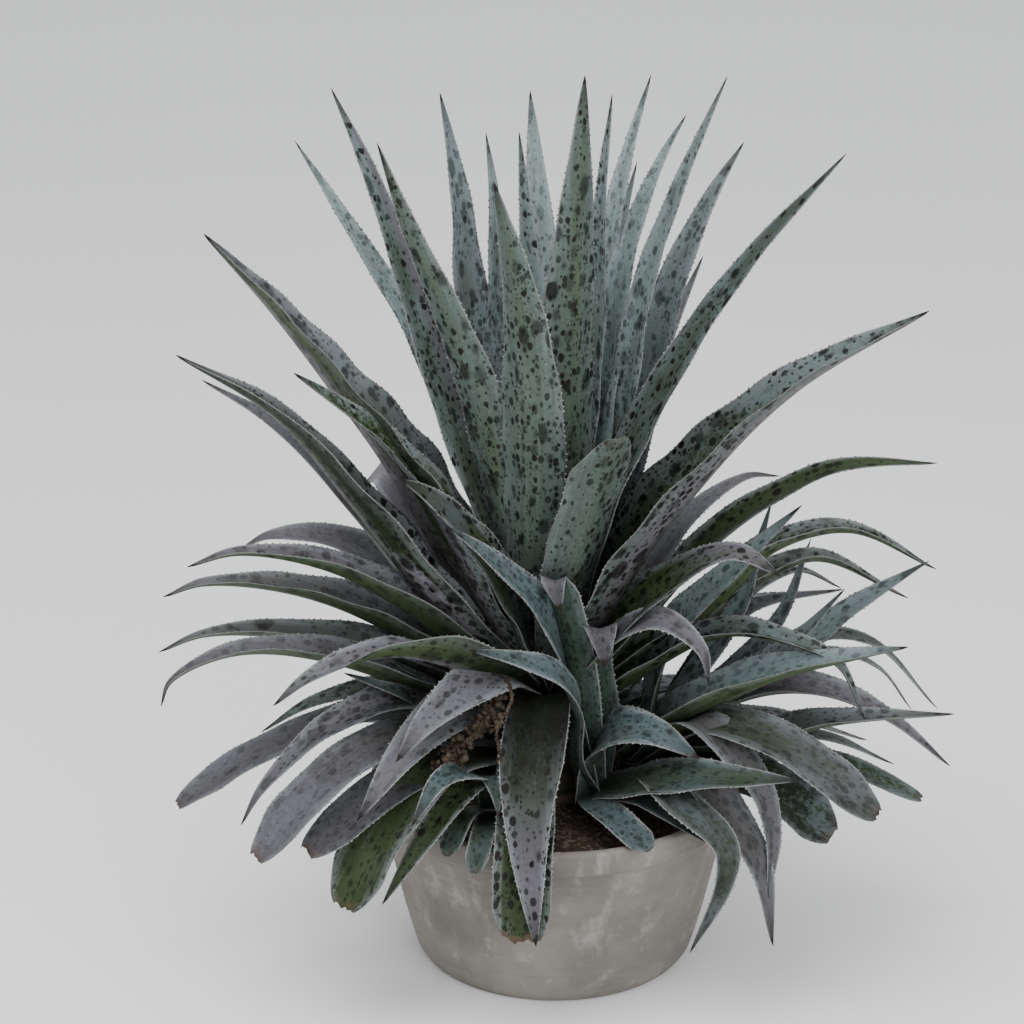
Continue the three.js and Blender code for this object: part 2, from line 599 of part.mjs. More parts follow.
// Soil: fills the pot to just under its rim, slightly mounded, with a plain hole for each stem
function makeSoil(holes, grow = 0) {
  const innerFoot = POT_FOOT_RADIUS - POT_WALL - GAP * 2;
  const innerRim = POT_RIM_RADIUS - POT_WALL - GAP * 2;
  const edge = mix(innerFoot, innerRim, (SOIL_LEVEL - SOIL_MOUND) / POT_HEIGHT);
  const topAt = (share) => SOIL_LEVEL - SOIL_MOUND * share ** 2 + grow;
  const points = [
    [0, POT_FLOOR + GAP],
    [innerFoot - 9, POT_FLOOR + GAP],
    [innerFoot - 1, POT_FLOOR + 8 + GAP],
    [mix(innerFoot, innerRim, 0.5), 90],
    [edge, topAt(1)],
    ...[0.8, 0.6, 0.38].map((share) => [edge * share, topAt(share)]),
    [0, topAt(0)],
  ].map(([radius, height]) => new THREE.Vector2(radius, height));
  const geometry = new THREE.LatheGeometry(points, SOIL_SIDES);
  geometry.rotateX(Math.PI / 2);
  const place = geometry.attributes.position;
  for (let i = 0; i < place.count; i += 1) {
    if (place.getZ(i) > topAt(1)) {
      const wave = Math.sin(place.getX(i) * 0.06 + 1) * Math.cos(place.getY(i) * 0.05);
      place.setZ(i, place.getZ(i) + SOIL_WAVE * wave);
    }
  }
  return holes.reduce((soil, hole) => soil.subtract(hole), solidOf(geometry));
}

// Dried remains: a bent stalk with buds spaced along it, every other one to each side
function makeRemains(random) {
  const way = new THREE.CatmullRomCurve3(remainsWay.map((place) => seen(...place)));
  const section = new THREE.Shape();
  section.absarc(0, 0, REMAINS_STALK_RADIUS, 0, 2 * Math.PI);
  const stalk = new THREE.ExtrudeGeometry(section, { extrudePath: way, steps: 7, curveSegments: 2 });
  const pieces = [solidOf(stalk)];
  for (let i = 0; i < REMAINS_BUDS; i += 1) {
    const share = 0.3 + (0.7 * i) / (REMAINS_BUDS - 1);
    const bud = new THREE.IcosahedronGeometry(REMAINS_BUD_RADIUS * mix(0.7, 1.1, random()), 0);
    const place = way.getPointAt(share);
    const toSide = 5 * (random() - 0.5);
    const upwards = 5 * (random() - 0.5);
    bud.translate(place.x + toSide, place.y + (i % 2 ? 3 : -3), place.z + upwards);
    pieces.push(solidOf(bud));
  }
  return joined(pieces);
}

// Assembly
const group = new THREE.Group();

function addPiece(name, solid, colour) {
  const mesh = solid.getMesh();
  const geometry = new THREE.BufferGeometry();
  geometry.setAttribute('position', new THREE.BufferAttribute(mesh.vertProperties, 3));
  geometry.setIndex(new THREE.BufferAttribute(mesh.triVerts, 1));
  geometry.computeVertexNormals();
  const piece = new THREE.Mesh(geometry, new THREE.MeshStandardMaterial(finish[colour]));
  piece.name = name;
  group.add(piece);
}

const buried = SOIL_LEVEL - STEM_DEPTH_IN_SOIL;
const offsetDepth = SOIL_LEVEL - STEM_DEPTH_IN_SOIL * 0.6;
const stemTop = SOIL_LEVEL + STEM_RISE;

const pot = makePot();
const stemHole = (x, y, radius, from) => stem(x, y, radius, radius, from, SOIL_LEVEL * 2, GAP);
const stemHoles = [
  stemHole(0, 0, STEM_RADIUS_AT_SOIL, buried),
  ...Object.values(offsets).map(({ x, y, radius }) => stemHole(x, y, radius, offsetDepth)),
];
const soil = makeSoil(stemHoles);
addPiece('pot', pot, 'pot');
addPiece('soil', soil, 'soil');

const mainStem = (grow) => stem(0, 0, STEM_RADIUS_AT_SOIL, STEM_RADIUS_AT_TOP, buried, stemTop, grow);
addPiece('main_stem', mainStem(0), 'stem');

// placed holds what every later piece is cut clear of
const placed = [mainStem(GAP), rimGuard(), makeSoil(stemHoles, GAP)];

function addClear(name, solid, grown, colour) {
  const clear = placed.reduce((rest, other) => rest.subtract(other), solid);
  addPiece(name, largestBody(clear), colour);
  placed.push(grown);
}

const heart = (grow) => {
  const base = stem(0, 0, HEART_RADIUS, HEART_RADIUS * 0.7, stemTop - 30, SOIL_LEVEL + HEART_RISE, grow);
  const middle = new THREE.Vector3();
  const blades = heartLeaves.map((leaf) => blade(leaf, spineOf(leaf, middle, STEM_RISE + 8, 8), grow));
  return joined([base, ...blades]);
};
addClear('heart_leaves', heart(0), heart(GAP), 'blue');

const randomDraw = seededRandom(11);
offsets.back_pup.leaves = ringOfLeaves(
  offsets.back_pup,
  BACK_PUP_LEAVES,
  BACK_PUP_LEAF_LENGTH,
  BACK_PUP_LEAF_WIDTH,
  randomDraw,
);
for (const [name, offset] of Object.entries(offsets)) {
  addClear(name, head(offset, offsetDepth, 0), head(offset, offsetDepth, GAP), offset.colour);
}

const middle = new THREE.Vector3();
const SUNK_IN_STEM = STEM_RADIUS_AT_TOP * 0.5;
for (const [name, leaf] of Object.entries(stemLeaves)) {
  const spine = spineOf(leaf, middle, rootRise(leaf), SUNK_IN_STEM);
  addClear(name, blade(leaf, spine), blade(leaf, spine, GAP), 'blue');
}

let backCount = 0;
for (const tier of backTiers) {
  for (let i = 0; i < tier.count; i += 1) {
    const leaf = backLeaf(tier, i, randomDraw);
    const spine = spineOf(leaf, middle, leaf.rise, SUNK_IN_STEM);
    backCount += 1;
    addClear(`leaf_back_${backCount}`, blade(leaf, spine), blade(leaf, spine, GAP), 'lavender');
  }
}

const remains = makeRemains(randomDraw);
addClear('dried_flower_remains', remains, remains, 'dry');

export default group;
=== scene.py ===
"""Potted mangave with arching, toothed and spotted leaves: its finished look.

Metres, +Z up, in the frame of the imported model. +X is the plant's right and +Y its back.
"""

import math

import bmesh
import bpy
import numpy as np
from bpy.props import FloatProperty, FloatVectorProperty, IntProperty, PointerProperty
from mathutils import Matrix, Vector, noise


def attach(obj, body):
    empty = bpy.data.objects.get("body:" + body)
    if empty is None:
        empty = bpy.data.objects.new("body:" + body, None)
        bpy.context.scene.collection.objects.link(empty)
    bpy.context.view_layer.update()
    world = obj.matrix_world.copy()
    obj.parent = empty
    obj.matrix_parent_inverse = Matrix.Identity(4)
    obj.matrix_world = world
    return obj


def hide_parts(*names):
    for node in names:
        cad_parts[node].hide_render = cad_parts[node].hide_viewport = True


bl_info = {
    "name": "Potted Mangave",
    "version": (1, 0, 0),
    "blender": (4, 5, 0),
    "location": "View3D > Sidebar > Mangave",
    "description": "Builds the leaves, the stems, the soil and the pot of a potted mangave",
    "category": "Add Mesh",
}

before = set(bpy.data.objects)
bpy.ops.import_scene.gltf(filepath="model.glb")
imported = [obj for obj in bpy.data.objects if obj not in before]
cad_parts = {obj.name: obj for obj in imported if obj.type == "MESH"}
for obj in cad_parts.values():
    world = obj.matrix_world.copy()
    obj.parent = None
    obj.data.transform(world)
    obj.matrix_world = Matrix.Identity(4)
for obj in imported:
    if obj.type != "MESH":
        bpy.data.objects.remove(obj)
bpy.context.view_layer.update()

BODY = "root"
MM = 0.001
UP = np.array([0.0, 0.0, 1.0])

# Where the plant is looked at from
VIEW_DISTANCE = 3.0
VIEW_TILT = math.radians(20)
VIEW_CENTRE = np.array([-0.044, 0.0, 0.476])
VIEW_UP = np.array([0.0, math.sin(VIEW_TILT), math.cos(VIEW_TILT)])
EYE = VIEW_CENTRE + VIEW_DISTANCE * np.array([0.0, -math.cos(VIEW_TILT), math.sin(VIEW_TILT)])
SOIL_MIDDLE_ACROSS = 44
SOIL_MIDDLE_UP = -273
SENSOR_WIDTH = 36.0
PICTURE_PIXELS = 1024

# Stem and soil heights
SOIL_LEVEL = 0.175
STEM_DEPTH_IN_SOIL = 0.045
STEM_RADIUS_AT_SOIL = 0.044
STEM_RADIUS_AT_TOP = 0.033
STEM_RISE = 0.104
HEART_RADIUS = 0.027
HEART_RISE = 0.158
LOWEST_ROOT_RISE = 0.016
HIGHEST_ROOT_RISE = 0.092
STEM_TOP = SOIL_LEVEL + STEM_RISE

# Form of the leaf blades, by shares of their length or width and by powers
BASE_WIDTH_SHARE = 0.62
CLASPING_WIDTH_SHARE = 0.85
FULL_WIDTH_AT = 0.42
TAPER_SHARE = 0.52
TAPER_POWER = 0.8
BLUNT_SHARE = 0.13
BLUNT_POWER = 0.4
ROLL_AT_BASE = 0.55
TIP_ROLL_FROM = 0.35
FOLD = 0.4
FOLD_LEFT_AT_TIP = 0.7
CHANNEL_POWER = 1.25
KEEL_SHARE = 0.5
KEEL_FROM = 0.35

# Points and sections of the leaf blades, and half the width of a leaf's hard point
SIDE_POINTS = 11
SPINE_STEPS = 300
SPINE_HALF_WIDTH = 0.0007
FEWEST_SECTIONS = 16
MOST_SECTIONS = 110

# Where the lavender and the painted light and shade near a blade's base change, by shares of its length
VIOLET_FROM = 0.55
VIOLET_FADE = 0.25
VIOLET_BASE_END = 0.38
VIOLET_BASE_FADE = 0.2
TONE_FROM = 0.22
TONE_FADE = 0.36


def leaf(wide, way, roll=0, blunt=False, taper=TAPER_SHARE, **looks):
    """A leaf by its full width and its way from the stem to its tip.

    wide is in millimetres and roll, which turns the upper face to the front, in degrees.
    A way's points are across, up and back in millimetres, as they are seen from the eye.
    taper is the share of the length over which a pointed leaf narrows to its tip.
    The looks are fold, the depth of the channel, tip_roll, the roll at the tip, and dry, how
    withered a blunt end is. violet with violet_tip, violet_right, violet_base and violet_under
    gives lavender wax, moss gives green patches, and plain weakens the spots. tone is a factor
    of the brightness, partly the leaf's own and partly painted light on leaves that lie in
    shade and painted shade on others. A second factor, for the base, is painted shade below 1
    and painted light above 1. violet_from and base_fade say where they change.
    """
    return {"wide": wide * MM, "way": way, "roll": roll, "blunt": blunt, "taper": taper, **looks}


HEART_LEAVES = [
    leaf(44, [(-136, 445, 45), (-191, 535, 55), (-261, 644, 70)], roll=30, plain=0.4, tone=1.45),
    leaf(
        54, [(-124, 435, -8), (-156, 530, -8), (-188, 615, -10), (-225, 697, -12)],
        roll=50, moss=0.7, violet_right=0.9,
    ),
    leaf(52, [(-76, 385, -50), (-106, 465, -58), (-146, 555, -66), (-179, 642, -80)], roll=-45, moss=0.6),
    leaf(
        64, [(-78, 425, 45), (-88, 495, 60), (-98, 595, 78), (-116, 692, 95)],
        taper=0.45, violet=0.35, tone=1.2, plain=0.3,
    ),
    leaf(46, [(-54, 425, 70), (-59, 525, 85), (-63, 595, 92), (-70, 652, 100)], plain=0.4, tone=1.45),
    leaf(
        68, [(-23, 215, -45), (-25, 345, -75), (-34, 475, -95), (-62, 603, -120)],
        taper=0.42, moss=0.45,
    ),
    leaf(50, [(-11, 455, 95), (-16, 545, 118), (-26, 695, 150)], taper=0.42, plain=0.5, tone=1.5),
    leaf(42, [(-16, 455, 40), (-26, 525, 60), (-37, 654, 95)]),
    leaf(60, [(12, 265, -25), (14, 445, -35), (24, 615, -42), (29, 710, -45)], taper=0.36, moss=0.35),
    leaf(46, [(42, 485, 20), (44, 565, 24), (56, 690, 30)], taper=0.42, tone=1.05),
    leaf(54, [(49, 515, 62), (69, 620, 72), (95, 710, 85)], plain=0.5, tone=1.5),
    leaf(42, [(56, 515, 95), (69, 575, 105), (81, 623, 120)]),
    leaf(54, [(48, 415, 20), (71, 535, 45), (105, 625, 60), (130, 670, 70)], roll=15, plain=0.5, tone=1.5),
    leaf(46, [(64, 365, -8), (89, 500, -5), (126, 605, -3), (171, 708, -5)], roll=38, plain=0.3, tone=0.95),
    leaf(
        60, [(84, 385, 50), (114, 495, 60), (156, 590, 72), (188, 643, 85)],
        roll=28, violet=0.35, plain=0.4, tone=1.15,
    ),
    leaf(44, [(92, 385, 95), (109, 440, 110), (147, 529, 150)], violet=0.7, plain=0.7, tone=1.2),
]

STEM_LEAVES = {
    "leaf_right_high": leaf(
        48, [(54, 285, -45), (114, 410, -55), (189, 520, -70), (290, 631, -95)],
        roll=48, moss=0.6, tone=0.64, plain=-0.2,
    ),
    "leaf_right_broad": leaf(
        86, [(64, 225, -60), (139, 317, -75), (234, 400, -75), (373, 474, -60)],
        roll=12, fold=1.0, moss=0.9, violet_under=1.0, tone=0.8, plain=-0.2,
    ),
    "leaf_right_green": leaf(
        46, [(149, 240, -28), (179, 265, -30), (279, 317, -40), (381, 322, -55)], roll=24, fold=0.6,
    ),
    "leaf_right_inner": leaf(
        34, [(129, 265, 40), (189, 308, 60), (224, 309, 72)], roll=30, plain=0.9, tone=1.3,
    ),
    "leaf_front_short": leaf(
        66, [(14, 205, -70), (31, 268, -100), (47, 314, -124), (62, 348, -146)],
        roll=6, blunt=True, dry=0.25, moss=0.9,
    ),
    "leaf_right_front": leaf(
        66, [(54, 152, -60), (109, 202, -85), (179, 232, -115), (225, 209, -150)],
        roll=44, tip_roll=24, moss=1.0, violet_tip=1.0,
    ),
    "leaf_right_arch_1": leaf(
        46, [(164, 195, 0), (214, 240, 5), (294, 257, 5), (380, 216, 0)],
        roll=2, fold=1.0, violet=0.5, moss=1.2, tone=1.1,
    ),
    "leaf_right_arch_2": leaf(
        42, [(189, 200, 40), (259, 229, 50), (352, 187, 60)], roll=2, fold=1.0, moss=0.6,
    ),
    "leaf_right_arch_3": leaf(
        34, [(219, 208, 85), (246, 215, 95), (285, 197, 110)], roll=6, fold=0.8, moss=0.5,
    ),
    "leaf_right_drooping": leaf(
        40, [(150, 152, -48), (209, 152, -66), (282, 121, -84), (309, 65, -92)],
        roll=8, fold=0.8, violet=0.3, moss=0.6,
    ),
    "leaf_right_lavender": leaf(
        40, [(54, 145, -85), (104, 166, -110), (146, 135, -140), (153, 100, -150)],
        roll=40, violet=1.0, plain=0.6, tone=0.9,
    ),
    "leaf_left_front_1": leaf(
        66, [(-50, 195, -84), (-92, 256, -116), (-126, 288, -140), (-156, 306, -168)],
        roll=62, moss=1.4, tone=0.78, violet_tip=0.5, plain=-0.3,
    ),
    "leaf_left_high_1": leaf(
        76, [(-106, 265, -40), (-171, 345, -55), (-262, 412, -80)],
        roll=22, fold=0.7, moss=1.4, violet_under=1.0, violet_base=1.0, tone=0.9, base_tone=2.6,
    ),
    "leaf_left_high_2": leaf(
        98, [(-136, 305, -8), (-211, 400, -15), (-281, 480, -22), (-352, 551, -30)],
        roll=4, fold=1.0, violet=0.5, violet_tip=0.9, moss=0.5, violet_under=0.75, plain=0.3, tone=0.95,
    ),
    "leaf_left_1": leaf(
        68, [(-116, 195, -50), (-196, 290, -62), (-276, 372, -75), (-380, 430, -90)],
        roll=4, fold=1.0, violet=0.9, moss=0.4, violet_under=0.6, violet_base=1.0, tone=0.85, base_tone=2.8,
    ),
    "leaf_left_2": leaf(
        50, [(-126, 190, -2), (-206, 285, 6), (-281, 360, 12), (-354, 405, 20)],
        roll=18, fold=0.7, violet_under=0.9, plain=0.6,
    ),
    "leaf_left_inner_1": leaf(
        88, [(-96, 190, 2), (-138, 262, 16), (-168, 312, 44), (-190, 304, 92)],
        roll=34, fold=0.25, violet=1.0, plain=0.95, tone=1.7,
    ),
    "leaf_left_inner_2": leaf(
        50, [(-76, 175, 85), (-112, 245, 106), (-136, 284, 130), (-154, 288, 170)],
        roll=15, violet=1.0, plain=0.9, tone=1.5,
    ),
    "leaf_left_arch_1": leaf(
        54, [(-116, 167, -55), (-216, 219, -75), (-316, 233, -90), (-369, 218, -100)],
        roll=4, fold=1.0, plain=0.45,
    ),
    "leaf_left_arch_2": leaf(
        64, [(-126, 187, 42), (-216, 244, 48), (-286, 249, 50), (-316, 236, 52)],
        roll=20, fold=0.7, plain=0.85, tone=1.15,
    ),
    "leaf_left_arch_3": leaf(
        56, [(-156, 163, -22), (-256, 197, -36), (-351, 202, -48), (-393, 188, -55)],
        roll=4, fold=1.0, moss=0.3, plain=0.55,
    ),
    "leaf_left_arch_4": leaf(
        50, [(-156, 130, -25), (-251, 152, -32), (-351, 151, -36), (-397, 133, -40)],
        roll=4, fold=1.0, moss=0.45, plain=0.4,
    ),
    "leaf_left_arch_5": leaf(
        50, [(-216, 130, -75), (-321, 134, -85), (-386, 103, -90), (-395, 79, -92)],
        roll=4, fold=0.95, plain=0.7,
    ),
    "leaf_left_toothed": leaf(
        58, [(-86, 125, -95), (-166, 137, -125), (-246, 107, -150), (-283, 79, -165)],
        roll=-34, tip_roll=16, fold=0.9, plain=0.2, violet_under=0.5, base_tone=0.3, base_fade=0.5,
    ),
    "leaf_left_low_1": leaf(
        50, [(-156, 85, -85), (-231, 55, -110), (-294, -5, -128), (-315, -40, -135)],
        roll=12, fold=0.6, plain=0.3, tone=0.9,
    ),
    "leaf_left_low_2": leaf(
        38, [(-176, 75, -40), (-276, 43, -60), (-351, 0, -75), (-381, -23, -80)],
        roll=22, blunt=True, dry=0.4, plain=0.7, tone=0.85,
    ),
    "leaf_left_low_3": leaf(
        38, [(-156, 96, 0), (-236, 86, -5), (-295, 53, -10)], roll=20, violet=0.2, moss=0.8,
    ),
    "leaf_left_low_4": leaf(
        50, [(-161, 47, -120), (-236, 0, -150), (-303, -77, -175)],
        roll=18, blunt=True, dry=0.5, plain=0.65, tone=0.88,
    ),
    "leaf_left_low_5": leaf(
        48, [(-146, 10, -140), (-221, -45, -170), (-253, -70, -180)],
        roll=20, blunt=True, dry=0.5, plain=0.6, tone=0.62,
    ),
    "leaf_front_low_1": leaf(
        66, [(-112, 22, -135), (-174, -45, -178), (-214, -127, -205)],
        roll=10, blunt=True, dry=0.5, plain=0.3,
    ),
    "leaf_front_low_2": leaf(44, [(-88, 4, -145), (-134, -58, -190), (-174, -120, -220)], roll=12),
    "leaf_front_lavender_1": leaf(
        58, [(-56, 113, -90), (-126, 67, -160), (-160, 23, -195)], roll=30, plain=0.35, tone=0.93,
    ),
    "leaf_front_lavender_2": leaf(
        58, [(-86, 84, -95), (-150, 34, -162), (-199, -36, -200)], roll=28, plain=0.6, tone=0.92,
    ),
    "leaf_front_hanging_1": leaf(
        64,
        [
            (-12, 88, -84), (-19, 58, -122), (-27, -2, -172),
            (-28, -52, -204), (-25, -104, -226), (-20, -162, -240),
        ],
        violet=0.55, moss=1.0, violet_tip=1.0, violet_from=0.5, tone=0.9, base_tone=0.05, base_fade=0.72,
        plain=-0.15,
    ),
    "leaf_front_hanging_2": leaf(
        58, [(-28, 40, -95), (-30, -35, -165), (-32, -65, -200), (-34, -115, -218), (-33, -165, -222)],
        blunt=True,
    ),
}

RIGHT_LEAVES = [
    leaf(42, [(112, 150, -15), (179, 218, -25), (246, 280, -35)], roll=38, violet=0.0, tone=1.45),
    leaf(28, [(184, 180, 15), (196, 215, 25), (216, 285, 35)], roll=30, violet=0.0),
    leaf(26, [(219, 160, 45), (255, 246, 65)], roll=25, violet=0.2),
    leaf(42, [(259, 150, 10), (294, 177, 12), (373, 224, 15)], roll=30, violet=0.1, tone=1.2),
    leaf(34, [(224, 130, -25), (289, 196, -30)], roll=28, violet=0.1),
    leaf(28, [(186, 173, 70), (280, 195, 95)], roll=20, violet=0.8),
    leaf(
        58, [(124, 75, -60), (204, 110, -85), (304, 130, -105), (352, 138, -115)],
        roll=10, fold=0.9, violet=0.0, plain=0.6, tone=1.1,
    ),
    leaf(28, [(244, 145, 40), (314, 144, 45), (381, 77, 50)], roll=18, violet=0.6, moss=0.7),
    leaf(24, [(264, 133, 75), (322, 118, 85), (355, 76, 95)], roll=15, violet=0.6, moss=0.7),
    leaf(
        42, [(194, 47, -35), (274, 65, -50), (398, 71, -60)], roll=8, fold=0.8, violet=0.7, moss=0.4,
    ),
    leaf(
        42, [(179, 90, -15), (254, 99, -20), (329, 70, -25), (394, 19, -30)],
        roll=16, fold=0.8, violet=1.0, plain=0.6, tone=1.1,
    ),
    leaf(28, [(259, 50, 20), (338, 21, 30)], roll=15, violet=0.5, moss=0.5),
    leaf(30, [(259, 28, -30), (368, -15, -45)], roll=18, blunt=True, dry=0.3, moss=1.0, tone=0.85),
    leaf(
        48, [(159, 63, -95), (234, 37, -125), (324, -33, -150)],
        roll=22, blunt=True, dry=0.35, violet=0.7, moss=0.7, plain=0.55, tone=0.78,
    ),
    leaf(56, [(204, 5, -75), (279, -53, -95)], roll=24, blunt=True, dry=0.35, moss=1.4, tone=0.65),
    leaf(
        46, [(144, 63, -100), (202, 0, -135), (216, -45, -155), (212, -115, -180)],
        violet=1.0, moss=0.3, plain=0.6, tone=0.85,
    ),
    leaf(
        50, [(144, 5, -125), (201, -75, -170), (217, -161, -190)],
        violet=1.0, moss=0.3, plain=0.6, tone=0.88,
    ),
    leaf(
        38, [(114, -10, -150), (169, -60, -185), (169, -95, -200), (134, -168, -212)],
        violet=0.5, moss=0.8, plain=0.6, tone=0.6,
    ),
]

FRONT_PUP_LEAVES = [
    leaf(50, [(17, 95, -72), (-13, 175, -105), (-74, 234, -150), (-110, 259, -172)], roll=58, tone=1.15),
    leaf(
        44, [(18, 30, -86), (22, 78, -104), (2, 110, -130), (-38, 125, -155), (-87, 135, -178)],
        roll=46, tone=1.1,
    ),
    leaf(
        40, [(30, 45, -62), (16, 145, -86), (-2, 206, -108), (5, 172, -130)], taper=0.2, violet_tip=1.0,
        tone=0.9,
    ),
    leaf(
        42, [(44, 65, -56), (36, 125, -72), (44, 158, -96), (49, 117, -124)], taper=0.22, violet_tip=1.0,
        tone=0.9,
    ),
    leaf(54, [(40, 38, -78), (62, 56, -100), (100, 52, -126), (144, 26, -155)], roll=38, tone=1.1),
    leaf(
        50, [(84, 2, -118), (134, 8, -152), (244, 4, -205)], roll=30, moss=0.8, tone=0.75,
    ),
    leaf(30, [(39, -18, -105), (64, -37, -145), (95, -66, -190)], roll=20, blunt=True, dry=0.2),
    leaf(32, [(84, -15, -120), (109, -30, -145), (156, -60, -180)]),
]

LEFT_FRONT_PUP_LEAVES = [
    leaf(34, [(-84, 12, -150), (-116, 4, -190), (-145, -42, -226)], roll=20),
    leaf(24, [(-91, -30, -150), (-110, -72, -195)], blunt=True, dry=0.2, moss=1.0, tone=0.8),
    leaf(24, [(-73, -50, -170), (-83, -90, -205)], blunt=True, dry=0.2, moss=1.0, tone=0.8),
    leaf(24, [(-67, 8, -140), (-60, -12, -176), (-57, -34, -196)], moss=0.5),
]

LEFT_PUP_LEAVES = [
    leaf(36, [(-126, 74, -30), (-152, 90, -82), (-212, 112, -116)], roll=40),
    leaf(30, [(-120, 92, -10), (-138, 108, -50), (-166, 122, -84)], roll=30),
    leaf(32, [(-140, 70, 0), (-181, 91, -20)], roll=20),
    leaf(26, [(-125, 90, 30), (-135, 124, 25)]),
]

# Offsets, the side rosettes: where each stands, its stem, and its leaves in order from the top
OFFSETS = {
    "right_rosette": {"x": 0.089, "y": -0.006, "radius": 0.026, "rise": 0.064, "leaves": RIGHT_LEAVES},
    "front_pup": {"x": 0.036, "y": -0.056, "radius": 0.014, "rise": 0.030, "leaves": FRONT_PUP_LEAVES},
    "left_front_pup": {
        "x": -0.066, "y": -0.092, "radius": 0.011, "rise": 0.022, "leaves": LEFT_FRONT_PUP_LEAVES,
    },
    "left_pup": {"x": -0.120, "y": 0.030, "radius": 0.013, "rise": 0.034, "leaves": LEFT_PUP_LEAVES},
    "back_pup": {"x": 0.062, "y": 0.118, "radius": 0.016, "rise": 0.036, "leaves": []},
}
BACK_PUP_LEAVES = 9
BACK_PUP_LEAF_LENGTH = 0.120
BACK_PUP_LEAF_WIDTH = 0.034
TURN_TO_NEXT_LEAF = math.radians(137.5)

# Leaves of the far side, in three tiers from the lowest to the steepest, with angles in degrees
BACK_TIERS = [
    {"count": 6, "from": 20, "to": 162, "slope": 20, "droop": 36, "length": 0.355, "rise": 0.026},
    {"count": 5, "from": 34, "to": 148, "slope": 36, "droop": 34, "length": 0.400, "rise": 0.052},
    {"count": 4, "from": 52, "to": 130, "slope": 47, "droop": 24, "length": 0.350, "rise": 0.078},
]
BACK_LEAF_WIDTH = 0.052

STRIP_WAY = [(-50, 108, -150), (-44, 87, -166), (-59, 54, -178), (-55, 26, -182)]
REMAINS_WAY = [(-52, 98, -96), (-64, 80, -124), (-78, 54, -142), (-96, 38, -150), (-110, 22, -158)]

# Seed for the places of the leaves at the back
PLACE_SEED = 11

# Dried flower remains
REMAINS_SEED = 23
STALK_RADIUS = 0.0028
STALK_SECTIONS = 40
STALK_BUDS = 210
STRIP_RADIUS = 0.0012
STRIP_BUDS = 60
TWIG_RADIUS = 0.0009
TUBE_SIDES = 8

# Teeth
TOOTH_SIDES = 5
TOOTH_SLIDE = 0.0018
TOOTH_LEAN = math.radians(14)
MISSING_TEETH = 0.1
TEETH_GROW_OVER = 0.09
TEETH_END_BEFORE_TIP = 0.008

# How far from the end teeth get smaller, and their size, for a pointed and for a blunt leaf
TEETH_FADE = (0.07, 0.045)
TEETH_SIZE = (0.75, 0.65)

# Soil, pot and stems
SOIL_EDGE_RADIUS = 0.1752
SOIL_EDGE_DROP = 0.005
SOIL_RINGS = 44
SOIL_SIDES = 140
SOIL_LUMPS_FROM = 0.165
GRAIN_SEED = 4
POT_SIDES = 144
POT_WALL_SECTIONS = 60
DRAIN_SIDES = 32
SCAR_DEPTH = 0.0008
SCAR_PITCH = 0.011
STEM_SECTIONS = 48
STEM_SIDES = 48
SMALL_STEM_SIDES = 28

# Lights
KEY_LIGHT_PLACE = (-0.7, -0.7, 3.2)
FILL_LIGHT_PLACE = (1.6, -2.8, 1.5)
LIGHT_AIM = (0.0, 0.0, 0.35)
LIGHT_SIZE = 2.2

# Finishes of the nodes that aren't lavender
BLADE_SLOTS = {
    "heart_leaves": "blade_blue",
    "front_pup": "blade_teal",
    "left_front_pup": "blade_teal",
    "left_pup": "blade_teal",
    "back_pup": "blade_teal",
    "leaf_right_high": "blade_blue",
    "leaf_right_broad": "blade_blue",
    "leaf_right_green": "blade_green",
    "leaf_front_short": "blade_blue",
    "leaf_right_front": "blade_green",
    "leaf_left_front_1": "blade_teal",
    "leaf_left_high_1": "blade_blue",
    "leaf_left_1": "blade_green",
    "leaf_front_low_1": "blade_green",
    "leaf_front_low_2": "blade_green",
    "leaf_front_hanging_2": "blade_green",
    "leaf_back_12": "blade_blue",
    "leaf_back_13": "blade_blue",
    "leaf_back_14": "blade_blue",
    "leaf_back_15": "blade_blue",
}


def length_setting(name, description, default):
    """A setting in metres."""
    return FloatProperty(name=name, description=description, default=default, unit="LENGTH")


def power_setting(name, description, default):
    """A setting in watts."""
    return FloatProperty(name=name, description=description, default=default, unit="POWER")


def colour_setting(name, description, default):
    """A colour setting."""
    return FloatVectorProperty(name=name, description=description, default=default, subtype="COLOR")


class MangaveLeafSizes(bpy.types.PropertyGroup):
    """Sizes of the leaf blades and their teeth."""

    base_thickness: length_setting("Base thickness", "Thickness of a blade at the stem", 0.009)
    tip_thickness: length_setting("Tip thickness", "Thickness of a blade near its tip", 0.0022)
    edge_thickness: length_setting("Edge thickness", "Thickness of a blade at its margins", 0.0009)
    station_length: length_setting("Station length", "Length of one step along a blade", 0.0055)
    wave_height: length_setting("Wave height", "How far a margin waves up and down", 0.0013)
    wave_length: length_setting("Wave length", "Length of one wave along a margin", 0.085)
    spine_length: length_setting("Tip spine", "Length of the hard dark point of a leaf", 0.007)
    ragged_depth: length_setting("Ragged depth", "Depth of the bites in a blunt, dried end", 0.020)
    tooth_spacing: length_setting("Tooth spacing", "Distance from one margin tooth to the next", 0.0068)
    tooth_length: length_setting("Tooth length", "How far a margin tooth stands out", 0.0020)
    tooth_radius: length_setting("Tooth radius", "Radius of a margin tooth at its foot", 0.0021)
    seed: IntProperty(name="Seed", description="Picks the small differences between leaves", default=11)


